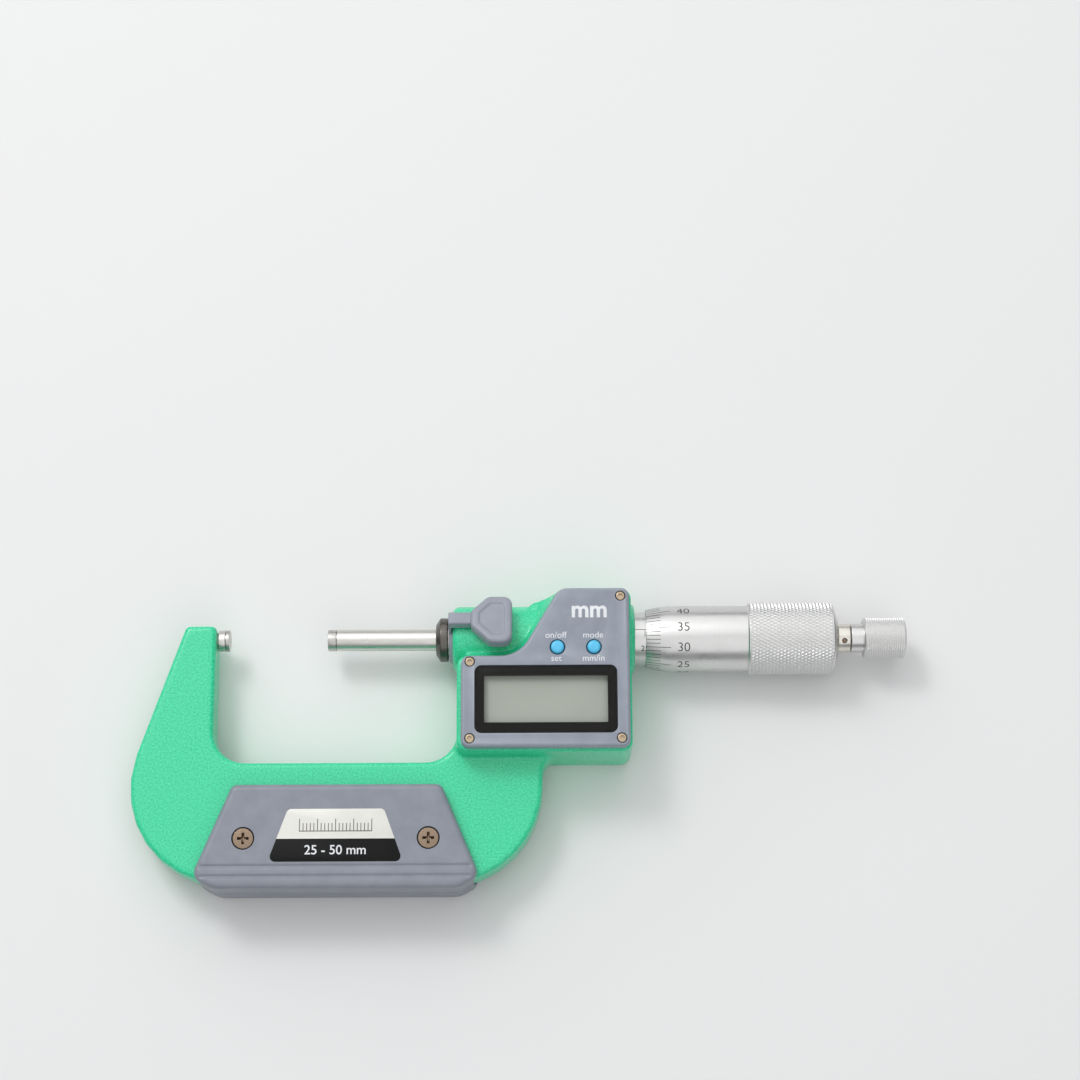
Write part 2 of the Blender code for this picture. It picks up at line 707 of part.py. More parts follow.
def barrel_bore():
    """Stepped bore for the lever's hub, the bush, the encoder and the two sleeves."""
    hub_seat = HUB_RADIUS + SEAT_GAP
    bush_seat = BUSH_RADIUS + SEAT_GAP
    inner_seat = INNER_SLEEVE_RADIUS + SEAT_GAP
    profile = [(0, NOSE_RIGHT + CUT_PAST), (THIMBLE_BORE, NOSE_RIGHT + CUT_PAST),
               (THIMBLE_BORE, SLEEVE_SEAT), (inner_seat, SLEEVE_SEAT),
               (inner_seat, ENCODER_RIGHT), (ENCODER_BORE, ENCODER_RIGHT),
               (ENCODER_BORE, ENCODER_LEFT), (bush_seat, ENCODER_LEFT),
               (bush_seat, HUB_RIGHT + SEAT_GAP), (hub_seat, HUB_RIGHT + SEAT_GAP),
               (hub_seat, BARREL_LEFT - CUT_PAST), (0, BARREL_LEFT - CUT_PAST)]
    return on_axis(turned("barrel_bore", profile))


def shoulder():
    """Keeps the flare inside the casting's back line, which climbs from the barrel to the housing."""
    top = COVER_TOP_EDGE + HOUSING_MARGIN - SEAL_GAP
    right = COVER_SLANT_TOP + COVER_SLANT_TOP_RADIUS
    corners = [(COVER_LEFT, COVER_SHELF, 0.0), (right, COVER_SHELF, 0.0), (right, top, 0.0),
               (COVER_SLANT_TOP, top, SHOULDER_RADIUS / 2),
               (SHOULDER_LEFT, BARREL_RADIUS, SHOULDER_RADIUS), (COVER_LEFT, BARREL_RADIUS, 0.0)]
    return slab("shoulder", rounded(corners), FLARE_FOOT - CUT_PAST, HOUSING_SEAT)


def electronics_pocket():
    corners = grown(window_corners(), POCKET_MARGIN)
    return slab("electronics_pocket", rounded(corners), POCKET_FLOOR, HOUSING_SEAT + CUT_PAST)


def button_recess():
    return block("button_recess", (BUTTON_RECESS_LEFT, WINDOW_TOP, BUTTON_RECESS_FLOOR),
                 (BUTTON_RECESS_RIGHT, BUTTON_RECESS_TOP, HOUSING_SEAT + CUT_PAST))


def wire_slot():
    """Lets the encoder's leads through from the barrel to the circuit board."""
    middle = (ENCODER_LEFT + ENCODER_RIGHT) / 2
    return block("wire_slot", (middle, WINDOW_TOP - CUT_PAST, POCKET_FLOOR),
                 (middle + 0.004, -ENCODER_BORE + CUT_PAST, -POCKET_FLOOR))


def frame():
    half = BOW_THICKNESS / 2
    casting = slab("frame", rounded(bow_corners()), -half, half, GREEN_ENAMEL)
    round_rim(casting, half, BOW_EDGE)
    round_rim(casting, -half, BOW_EDGE)
    housing = slab("housing", rounded(housing_corners()), HOUSING_BACK, HOUSING_SEAT)
    round_rim(housing, HOUSING_SEAT, HOUSING_EDGE, 1)
    round_rim(housing, HOUSING_BACK, HOUSING_BACK_EDGE)
    sweep = combine(flare(), shoulder(), "INTERSECT")
    fuse(casting, housing, barrel(), sweep)
    cut(casting, barrel_bore(), electronics_pocket(), button_recess(), wire_slot())
    anvil_hole = rod("anvil_hole", ARM_INNER - ANVIL_SHANK_LENGTH - SEAT_GAP, ARM_INNER + CUT_PAST,
                     ANVIL_SHANK_RADIUS + SEAT_GAP, SMALL_STEPS)
    cut(casting, anvil_hole)
    for index, spot in enumerate(cover_screw_places()):
        tapped = COVER_SCREW_SHANK + SEAT_GAP
        foot = COVER_FACE - COVER_SCREW_LENGTH - 2 * SEAT_GAP
        cut(casting, drill(f"cover_tapping_{index}", spot, tapped, foot, HOUSING_SEAT + CUT_PAST, TINY_STEPS))
    for index, spot in enumerate(plate_screw_places()):
        tapped = PLATE_SCREW_SHANK + SEAT_GAP
        cut(casting, drill(f"plate_tapping_{index}", spot, tapped, -half - CUT_PAST, half + CUT_PAST))
    cap_seat = CAP_RADIUS + SEAT_GAP
    profile = [(0, POCKET_FLOOR + CUT_PAST), (BATTERY_HOLE, POCKET_FLOOR + CUT_PAST),
               (BATTERY_HOLE, CAP_STEP), (cap_seat, CAP_STEP),
               (cap_seat, HOUSING_BACK - CUT_PAST), (0, HOUSING_BACK - CUT_PAST)]
    cut(casting, upright("battery_hole", BATTERY_PLACE, profile))
    return smooth(casting)


def anvil():
    right = -ANVIL_TIP_LENGTH - SEAT_GAP / 3
    shoulder_at = ARM_INNER + SEAT_GAP
    left = ARM_INNER - ANVIL_SHANK_LENGTH
    profile = [(0, right), (SPINDLE_RADIUS, right), (SPINDLE_RADIUS, shoulder_at),
               (ANVIL_SHANK_RADIUS, shoulder_at), (ANVIL_SHANK_RADIUS, left), (0, left)]
    on_axis(turned("anvil", profile, SMALL_STEPS, GROUND_STEEL))
    rod("anvil_tip", -ANVIL_TIP_LENGTH, 0, SPINDLE_RADIUS, SMALL_STEPS, CARBIDE)


def plate_screw_mesh():
    """Countersunk cross-head screw, head up, its head's top at height zero."""
    rim = -PLATE_SCREW_RIM
    cone = rim - PLATE_SCREW_CONE
    profile = [(0, 0), (PLATE_SCREW_HEAD, 0), (PLATE_SCREW_HEAD, rim), (PLATE_SCREW_SHANK, cone),
               (PLATE_SCREW_SHANK, -PLATE_SCREW_LENGTH), (0, -PLATE_SCREW_LENGTH)]
    screw = turned("plate_screw_blank", profile, SMALL_STEPS)
    arm = PLATE_SCREW_CROSS_ARM
    half = PLATE_SCREW_CROSS_WIDTH / 2
    floor = -PLATE_SCREW_CROSS_DEPTH
    cross = block("cross_slot_long", (-arm, -half, floor), (arm, half, CUT_PAST))
    other = block("cross_slot_wide", (-half, -arm, floor), (half, arm, CUT_PAST))
    cut(screw, cross, other)
    mesh = baked(screw)
    for piece in (screw, cross, other):
        bpy.data.objects.remove(piece, do_unlink=True)
    mesh.materials.clear()
    mesh.materials.append(SCREW_STEEL)
    return mesh


def insulation_plate(name, side):
    """Moulded plate that wraps half of the bow's lower edge; side is +1 in front, -1 behind."""
    plate = slab(name, rounded(plate_corners()), SEAL_GAP, PLATE_FACE, GREY_PLASTIC)
    round_rim(plate, PLATE_FACE, PLATE_EDGE, 2)
    seat = BOW_THICKNESS / 2 + SEAT_GAP
    bed = slab(name + "_bed", rounded(grown(bow_corners(), SEAT_GAP)), -CUT_PAST, seat)
    cut(plate, bed)
    tools = [bed]
    for height in (PLATE_GROOVE_UPPER, PLATE_GROOVE_LOWER):
        groove = block(f"{name}_groove_{len(tools)}",
                       (PLATE_CENTRE - PLATE_GROOVE_HALF, height - PLATE_GROOVE_WIDTH / 2,
                        PLATE_FACE - PLATE_GROOVE_WIDTH / 2),
                       (PLATE_CENTRE + PLATE_GROOVE_HALF, height + PLATE_GROOVE_WIDTH / 2,
                        PLATE_FACE + CUT_PAST))
        cut(plate, groove)
        tools.append(groove)
    chamfer = block(name + "_chamfer", (-PLATE_SHOULDER_HALF, -LOBE_RADIUS, 0),
                    (PLATE_SHOULDER_HALF, 0, LOBE_RADIUS))
    chamfer.rotation_euler = (PLATE_CHAMFER_ANGLE, 0, 0)
    chamfer.location = (PLATE_CENTRE, PLATE_BOTTOM, BOW_THICKNESS / 2)
    cut(plate, chamfer)
    tools.append(chamfer)
    head = PLATE_SCREW_HEAD + SEAT_GAP
    shank = PLATE_SCREW_SHANK + SEAT_GAP
    rim = PLATE_FACE - PLATE_SCREW_SINK - PLATE_SCREW_RIM - SEAT_GAP
    cone = rim - PLATE_SCREW_CONE
    for spot in plate_screw_places():
        profile = [(0, PLATE_FACE + CUT_PAST), (head, PLATE_FACE + CUT_PAST), (head, rim),
                   (shank, cone), (shank, 0), (0, 0)]
        countersink = upright(f"{name}_hole_{len(tools)}", spot, profile)
        cut(plate, countersink)
        tools.append(countersink)
    if side > 0:
        recess_floor = PLATE_FACE + LABEL_PROUD - LABEL_THICKNESS - SEAL_GAP
        recess = slab("label_recess", rounded(grown(label_corners(), SEAT_GAP / 2)),
                      recess_floor, PLATE_FACE + CUT_PAST)
        cut(plate, recess)
    if side < 0:
        mesh = baked(plate)
        for piece in tools + [plate]:
            bpy.data.objects.remove(piece, do_unlink=True)
        for vertex in mesh.vertices:
            vertex.co.z = -vertex.co.z
        mesh.flip_normals()
        mesh.materials.clear()
        plate = place(name, mesh, GREY_PLASTIC)
    return smooth(plate)


def insulation():
    insulation_plate("front_insulation_plate", 1)
    insulation_plate("back_insulation_plate", -1)
    mesh = plate_screw_mesh()
    height = PLATE_FACE - PLATE_SCREW_SINK
    for side, face in ((1, "front"), (-1, "back")):
        for spot, end in zip(plate_screw_places(), ("left", "right")):
            screw = bpy.data.objects.new(f"plate_screw_{face}_{end}", mesh)
            model.objects.link(screw)
            screw.location = (spot[0], spot[1], side * height)
            screw.rotation_euler = (0 if side > 0 else math.pi, 0, 0)
    label_face = PLATE_FACE + LABEL_PROUD
    slab("range_label", rounded(label_corners()), label_face - LABEL_THICKNESS, label_face, LABEL_FOIL)


def cover_screw_mesh():
    """Small socket-head screw, its head's top at height zero."""
    profile = [(0, 0), (COVER_SCREW_HEAD, 0), (COVER_SCREW_HEAD, -COVER_SCREW_HEAD_HEIGHT),
               (COVER_SCREW_SHANK, -COVER_SCREW_HEAD_HEIGHT), (COVER_SCREW_SHANK, -COVER_SCREW_LENGTH),
               (0, -COVER_SCREW_LENGTH)]
    screw = turned("cover_screw_blank", profile, TINY_STEPS)
    corner = COVER_SCREW_SOCKET
    floor = -COVER_SCREW_SOCKET_DEPTH
    profile = [(0, CUT_PAST), (corner, CUT_PAST), (corner, floor), (0, floor)]
    socket = turned("cover_screw_socket", profile, 6)
    cut(screw, socket)
    mesh = baked(screw)
    for piece in (screw, socket):
        bpy.data.objects.remove(piece, do_unlink=True)
    mesh.materials.clear()
    mesh.materials.append(SCREW_STEEL)
    return mesh


def display_cover():
    cover = slab("display_cover", rounded(cover_corners()), COVER_UNDERSIDE, COVER_FACE, GREY_PLASTIC)
    round_rim(cover, COVER_FACE, COVER_EDGE)
    above = COVER_FACE + CUT_PAST
    ledge = COVER_UNDERSIDE + WINDOW_LEDGE
    cut(cover,
        slab("window_seat", rounded(grown(window_corners(), SEAL_GAP)), ledge, above),
        slab("screen_opening", rounded(grown(window_corners(), -SCREEN_BORDER - WINDOW_LEDGE)),
             COVER_UNDERSIDE - CUT_PAST, above))
    for index, spot in enumerate(button_places()):
        cut(cover, drill(f"button_hole_{index}", spot, BUTTON_HOLE, COVER_UNDERSIDE - CUT_PAST, above))
    head = COVER_SCREW_HEAD + SEAL_GAP
    shank = COVER_SCREW_SHANK + SEAT_GAP
    seat = COVER_FACE - COVER_SCREW_SINK - COVER_SCREW_HEAD_HEIGHT - SEAL_GAP
    for index, spot in enumerate(cover_screw_places()):
        profile = [(0, above), (head, above), (head, seat), (shank, seat),
                   (shank, COVER_UNDERSIDE - CUT_PAST), (0, COVER_UNDERSIDE - CUT_PAST)]
        cut(cover, upright(f"cover_hole_{index}", spot, profile, TINY_STEPS))
    smooth(cover)
    mesh = cover_screw_mesh()
    for index, spot in enumerate(cover_screw_places()):
        screw = bpy.data.objects.new(f"cover_screw_{index + 1}", mesh)
        model.objects.link(screw)
        screw.location = (spot[0], spot[1], COVER_FACE - COVER_SCREW_SINK)


def under_cover():
    """Gasket, window, screen, circuit board and the membrane that the buttons press."""
    low = HOUSING_SEAT + SEAL_GAP
    gasket = slab("cover_gasket", rounded(grown(cover_corners(), -GASKET_INSET)), low,
                  low + GASKET_THICKNESS, BLACK_RUBBER)
    cut(gasket, slab("gasket_opening", rounded(grown(cover_corners(), -GASKET_INSET - GASKET_WIDTH)),
                     low - CUT_PAST, low + CUT_PAST))
    face = COVER_FACE - WINDOW_SINK
    slab("display_window", rounded(window_corners()), face - WINDOW_THICKNESS, face, WINDOW_PLASTIC)
    slab("lcd_panel", rounded(grown(window_corners(), -SCREEN_BORDER)), SCREEN_FACE - SCREEN_THICKNESS,
         SCREEN_FACE, SCREEN_GLASS)
    left = WINDOW_LEFT + SEAT_GAP
    right = WINDOW_RIGHT - SEAT_GAP
    corner = WINDOW_CORNER
    board = [(left, WINDOW_BOTTOM + SEAT_GAP, corner), (right, WINDOW_BOTTOM + SEAT_GAP, corner),
             (right, WINDOW_TOP - SEAT_GAP, 0.0),
             (BUTTON_RECESS_RIGHT - SEAT_GAP, WINDOW_TOP - SEAT_GAP, 0.0),
             (BUTTON_RECESS_RIGHT - SEAT_GAP, BUTTON_RECESS_TOP - SEAT_GAP, 0.0),
             (BUTTON_RECESS_LEFT + SEAT_GAP, BUTTON_RECESS_TOP - SEAT_GAP, 0.0),
             (BUTTON_RECESS_LEFT + SEAT_GAP, WINDOW_TOP - SEAT_GAP, 0.0),
             (left, WINDOW_TOP - SEAT_GAP, corner)]
    slab("circuit_board", rounded(board), BOARD_FACE - BOARD_THICKNESS, BOARD_FACE, BOARD_GREEN)
    low = BOARD_FACE + SEAT_GAP
    reach = BUTTON_FLANGE + MEMBRANE_MARGIN
    membrane = [(BUTTON_LEFT - reach, BUTTON_Y - reach, corner), (BUTTON_RIGHT + reach, BUTTON_Y - reach, corner),
                (BUTTON_RIGHT + reach, BUTTON_Y + reach, corner), (BUTTON_LEFT - reach, BUTTON_Y + reach, corner)]
    slab("button_membrane", rounded(membrane), low, low + MEMBRANE_THICKNESS, BLACK_RUBBER)


def buttons():
    """Each cap has a flange that the cover holds in, and a low dome."""
    top = COVER_FACE + BUTTON_RISE
    flange_top = COVER_UNDERSIDE - SEAT_GAP * 2 / 3
    profile = [(0, top)]
    for step in range(1, BUTTON_DOME_STEPS + 1):
        angle = math.radians(90) * step / BUTTON_DOME_STEPS
        profile.append((BUTTON_RADIUS * math.sin(angle), top - BUTTON_DOME * (1 - math.cos(angle))))
    profile += [(BUTTON_RADIUS, flange_top), (BUTTON_FLANGE, flange_top),
                (BUTTON_FLANGE, flange_top - BUTTON_FLANGE_THICKNESS), (0, flange_top - BUTTON_FLANGE_THICKNESS)]
    for name, spot in zip(("on_off_button", "mode_button"), button_places()):
        smooth(upright(name, spot, profile, SMALL_STEPS, BUTTON_BLUE))


def battery():
    cell = [(0, BATTERY_FOOT + BATTERY_HEIGHT), (BATTERY_RADIUS - SEAT_GAP, BATTERY_FOOT + BATTERY_HEIGHT),
            (BATTERY_RADIUS, BATTERY_FOOT + BATTERY_HEIGHT - SEAT_GAP), (BATTERY_RADIUS, BATTERY_FOOT),
            (0, BATTERY_FOOT)]
    upright("battery", BATTERY_PLACE, cell, SMALL_STEPS, SATIN_CHROME)
    plug = BATTERY_RADIUS + SEAT_GAP
    flange_top = CAP_BACK + CAP_FLANGE
    cap = upright("battery_cap", BATTERY_PLACE,
                  [(0, flange_top + CAP_PLUG), (plug, flange_top + CAP_PLUG), (plug, flange_top),
                   (CAP_RADIUS, flange_top), (CAP_RADIUS, CAP_BACK), (0, CAP_BACK)], SMALL_STEPS, GREY_PLASTIC)
    half = COIN_SLOT_WIDTH / 2
    cut(cap, block("coin_slot", (BATTERY_X - BATTERY_RADIUS, BATTERY_Y - half, CAP_BACK - CUT_PAST),
                   (BATTERY_X + BATTERY_RADIUS, BATTERY_Y + half, CAP_BACK + COIN_SLOT_DEPTH)))
    ring = []
    middle = (plug + CAP_RADIUS + SEAT_GAP) / 2
    for step in range(SEAL_RING_SIDES):
        angle = -math.radians(360) * step / SEAL_RING_SIDES
        ring.append((middle + SEAL_RING / 2 * math.cos(angle),
                     flange_top + SEAT_GAP + SEAL_RING / 2 + SEAL_RING / 2 * math.sin(angle)))
    seal = turned("battery_seal", ring, TINY_STEPS, BLACK_RUBBER, closed=True)
    seal.location = (BATTERY_X, BATTERY_Y, 0)
    contact()


def contact():
    """Bent strip that joins the battery's top to the circuit board."""
    low = BATTERY_FOOT + BATTERY_HEIGHT + SEAT_GAP
    high = BOARD_FACE - BOARD_THICKNESS - SEAT_GAP
    reach = CONTACT_REACH
    bend = 2 * CONTACT_THICKNESS
    curve = [(-reach, high), (reach - bend, high), (reach, high - bend), (-bend, low), (-reach, low)]
    mesh = bpy.data.meshes.new("battery_contact")
    half = CONTACT_WIDTH / 2
    vertices = []
    for across, height in curve:
        vertices.append((BATTERY_X + across, BATTERY_Y - half, height))
        vertices.append((BATTERY_X + across, BATTERY_Y + half, height))
    faces = [(2 * i, 2 * i + 1, 2 * i + 3, 2 * i + 2) for i in range(len(curve) - 1)]
    mesh.from_pydata(vertices, [], faces)
    strip = place("battery_contact", mesh, BRASS)
    wall = strip.modifiers.new("thickness", "SOLIDIFY")
    wall.thickness = CONTACT_THICKNESS
    wall.offset = 0.0
    wall.use_even_offset = True


def front_end():
    """Seal nut, its seal and the bush that guides the spindle."""
    nut_right = NUT_LEFT + NUT_LENGTH
    lip = NUT_LEFT + NUT_LIP
    recess = NUT_RECESS_RADIUS
    nut = [(NUT_RADIUS - SEAT_GAP, nut_right), (NUT_RADIUS, nut_right - SEAT_GAP),
           (NUT_RADIUS, NUT_LEFT + NUT_CONE), (NUT_NOSE_RADIUS, NUT_LEFT), (SPINDLE_BORE, NUT_LEFT),
           (SPINDLE_BORE, lip), (recess, lip), (recess, nut_right)]
    smooth(on_axis(turned("seal_nut", nut, SMALL_STEPS, DARK_STEEL, closed=True)))
    seal_left = lip + SEAT_GAP * 2 / 3
    seal_right = seal_left + SEAL_LENGTH
    pipe("spindle_seal", seal_left, seal_right, SPINDLE_BORE, recess - SEAT_GAP, SMALL_STEPS, BLACK_RUBBER)
    bush_left = seal_right + SEAT_GAP * 2 / 3
    shoulder_at = nut_right + SEAT_GAP
    bush = [(BUSH_RADIUS, BUSH_RIGHT), (BUSH_RADIUS, shoulder_at), (recess - SEAT_GAP, shoulder_at),
            (recess - SEAT_GAP, bush_left), (SPINDLE_BORE, bush_left), (SPINDLE_BORE, BUSH_RIGHT)]
    on_axis(turned("spindle_bush", bush, SMALL_STEPS, GROUND_STEEL, closed=True))


def lever_pad_corners():
    return [(LEVER_PAD_LEFT + LEVER_PAD_LOW_SLOPE, LEVER_PAD_LOW, LEVER_PAD_CORNER),
            (LEVER_PAD_RIGHT, LEVER_PAD_LOW, LEVER_PAD_CORNER),
            (LEVER_PAD_RIGHT, LEVER_PAD_HIGH, LEVER_PAD_CORNER),
            (LEVER_PAD_LEFT + LEVER_PAD_SLOPE, LEVER_PAD_HIGH, LEVER_PAD_CORNER),
            (LEVER_PAD_LEFT, LEVER_PAD_HIGH - LEVER_PAD_SLOPE, LEVER_PAD_END_CORNER),
            (LEVER_PAD_LEFT, LEVER_PAD_LOW + LEVER_PAD_LOW_SLOPE, LEVER_PAD_END_CORNER)]


def lock_lever():
    """Hub and plate about the bush, a stem over the barrel and a dished finger pad.
    It is modelled with the stem straight up and then turned to its rest angle."""
    outer = HUB_RADIUS + LEVER_HUB_WALL
    plate_right = LEVER_LEFT + LEVER_PLATE
    hub = [(HUB_RADIUS, HUB_RIGHT), (HUB_RADIUS, plate_right), (outer, plate_right), (outer, LEVER_LEFT),
           (HUB_BORE, LEVER_LEFT), (HUB_BORE, HUB_RIGHT)]
    ring = on_axis(turned("lever_ring", hub, SMALL_STEPS, closed=True))
    half = LEVER_STEM_WIDTH / 2
    stem_bottom = LEVER_STEM_TOP - LEVER_STEM_THICKNESS
    arm = block("lever_arm", (LEVER_LEFT, -half, HUB_RADIUS), (plate_right, half, LEVER_STEM_TOP - SEAT_GAP))
    stem = block("lever_stem", (LEVER_LEFT, -half, stem_bottom),
                 (LEVER_PAD_LEFT + LEVER_PAD_CORNER, half, LEVER_STEM_TOP))
    bevel(stem, LEVER_STEM_THICKNESS / 4, 2)
    pad_low = LEVER_PAD_FACE - LEVER_PAD_THICKNESS
    pad = slab("lock_lever", rounded(lever_pad_corners()), pad_low, LEVER_PAD_FACE, GREY_PLASTIC)
    round_rim(pad, LEVER_PAD_FACE, LEVER_PAD_EDGE)
    dish = slab("lever_dish", rounded(grown(lever_pad_corners(), -LEVER_DISH_INSET)),
                LEVER_PAD_FACE - LEVER_DISH_DEPTH, LEVER_PAD_FACE + CUT_PAST)
    cut(pad, dish)
    fuse(pad, stem, arm, ring)
    pivot = bpy.data.objects.new("lever_pivot", None)
    model.objects.link(pivot)
    for piece in (pad, stem, arm, dish):
        piece.parent = pivot
    ring.parent = pivot
    pivot.rotation_euler = (-LEVER_ANGLE, 0, 0)
    return smooth(pad)


def encoder():
    """The rotor turns with the spindle through a key; the stator is fixed in the barrel."""
    disc_left = ROTOR_LEFT + ROTOR_DISC_AT
    disc_right = disc_left + ROTOR_DISC_THICKNESS
    right = ROTOR_LEFT + ROTOR_LENGTH
    profile = [(ROTOR_HUB, right), (ROTOR_HUB, disc_right), (ROTOR_DISC, disc_right), (ROTOR_DISC, disc_left),
               (ROTOR_HUB, disc_left), (ROTOR_HUB, ROTOR_LEFT), (SPINDLE_BORE, ROTOR_LEFT),
               (SPINDLE_BORE, right)]
    rotor = on_axis(turned("encoder_rotor", profile, SMALL_STEPS, BRASS, closed=True))
    middle = ROTOR_LEFT + ROTOR_LENGTH / 2
    key = block("rotor_key", (middle - KEY_LENGTH / 2, -KEY_WIDTH / 2, SPINDLE_RADIUS - KEY_DEPTH),
                (middle + KEY_LENGTH / 2, KEY_WIDTH / 2, (SPINDLE_BORE + ROTOR_HUB) / 2))
    fuse(rotor, key)
    stator_left = disc_right + SEAT_GAP
    pipe("encoder_stator", stator_left, stator_left + STATOR_THICKNESS, ROTOR_HUB + 2 * SEAT_GAP,
         ENCODER_BORE - SEAT_GAP, SMALL_STEPS, BOARD_GREEN)


def sleeves():
    """The inner sleeve carries the thread; the graduated sleeve is slid over it."""
    left = ENCODER_RIGHT + SEAT_GAP
    end_radius = INNER_SLEEVE_RADIUS - ADJUSTER_SEAT
    thread_end = SLEEVE_RIGHT + SEAT_GAP
    thread_bore = THREAD_RADIUS + SEAT_GAP
    profile = [(end_radius, INNER_SLEEVE_RIGHT), (end_radius, thread_end), (INNER_SLEEVE_RADIUS, thread_end),
               (INNER_SLEEVE_RADIUS, left), (INNER_SLEEVE_BORE, left), (INNER_SLEEVE_BORE, NUT_THREAD_LEFT),
               (thread_bore, NUT_THREAD_LEFT), (thread_bore, INNER_SLEEVE_RIGHT)]
    inner = on_axis(turned("inner_sleeve", profile, SMALL_STEPS, GROUND_STEEL, closed=True))
    slot_left = (NUT_THREAD_LEFT + SLEEVE_RIGHT) / 2
    reach = INNER_SLEEVE_RADIUS + CUT_PAST
    half = SLOT_WIDTH / 2
    right = INNER_SLEEVE_RIGHT + CUT_PAST
    cut(inner, block("slot_across", (slot_left, -reach, -half), (right, reach, half)),
        block("slot_upright", (slot_left, -half, -reach), (right, half, reach)))
    pipe("graduated_sleeve", SLEEVE_SEAT + SEAT_GAP, SLEEVE_RIGHT, SLEEVE_RADIUS - SLEEVE_WALL,
         SLEEVE_RADIUS, ROUND_STEPS, SATIN_CHROME)
    ring_left = thread_end + SEAT_GAP
    ring_bore = end_radius + SEAT_GAP
    pipe("adjusting_nut", ring_left, ring_left + ADJUSTER_LENGTH, ring_bore, ring_bore + ADJUSTER_WALL,
         SMALL_STEPS, GROUND_STEEL)


def spindle():
    """Ground front part with a keyway, threaded middle, and a tang that holds the thimble and ratchet."""
    front = READING + TIP_LENGTH + SEAT_GAP / 3
    thread_right = INNER_SLEEVE_RIGHT - (READING - CLOSED_READING) - SEAT_GAP
    thread_left = NUT_THREAD_LEFT - (OPEN_READING - READING)
    thread_length_right = max(thread_right, thread_left + TIP_LENGTH)
    spigot = NECK_RADIUS - NECK_WALL - SEAT_GAP
    spigot_right = NECK_RIGHT - NECK_END_WALL - SEAT_GAP
    tang_right = THIMBLE_RIGHT - SEAT_GAP
    profile = [(0, spigot_right), (spigot, spigot_right), (spigot, tang_right), (TANG_RADIUS, tang_right),
               (TANG_RADIUS, thread_length_right), (THREAD_RADIUS, thread_length_right),
               (THREAD_RADIUS, thread_left), (SPINDLE_RADIUS, thread_left), (SPINDLE_RADIUS, front), (0, front)]
    bar = on_axis(turned("spindle", profile, SMALL_STEPS, GROUND_STEEL))
    middle = ROTOR_LEFT + ROTOR_LENGTH / 2
    key_reach = KEY_LENGTH / 2 + SEAT_GAP
    way_left = middle - key_reach - (OPEN_READING - READING)
    way_right = middle + key_reach + (READING - CLOSED_READING)
    half = KEY_WIDTH / 2 + SEAT_GAP
    cut(bar, block("keyway", (way_left, -half, SPINDLE_RADIUS - KEYWAY_DEPTH),
                   (way_right, half, SPINDLE_RADIUS + CUT_PAST)))
    rod("spindle_tip", READING, READING + TIP_LENGTH, SPINDLE_RADIUS, SMALL_STEPS, CARBIDE)


def thimble():
    web_left = THIMBLE_RIGHT - THIMBLE_WEB
    hole = TANG_RADIUS + SEAT_GAP
    end = GRIP_RIGHT + GRIP_CHAMFER
    step = GRIP_RADIUS - THIMBLE_RADIUS
    profile = [(hole, THIMBLE_RIGHT), (THIMBLE_END_RADIUS, THIMBLE_RIGHT),
               (THIMBLE_RADIUS, end - GRIP_CHAMFER / 2), (GRIP_RADIUS, GRIP_RIGHT - GRIP_CHAMFER),
               (GRIP_RADIUS, GRIP_LEFT + step), (THIMBLE_RADIUS, GRIP_LEFT),
               (THIMBLE_RADIUS, THIMBLE_LEFT + THIMBLE_TAPER), (THIMBLE_FRONT_RADIUS, THIMBLE_LEFT),
               (THIMBLE_BORE, THIMBLE_LEFT), (THIMBLE_BORE, web_left), (hole, web_left)]
    smooth(on_axis(turned("thimble", profile, ROUND_STEPS, SATIN_CHROME, closed=True)), 20)


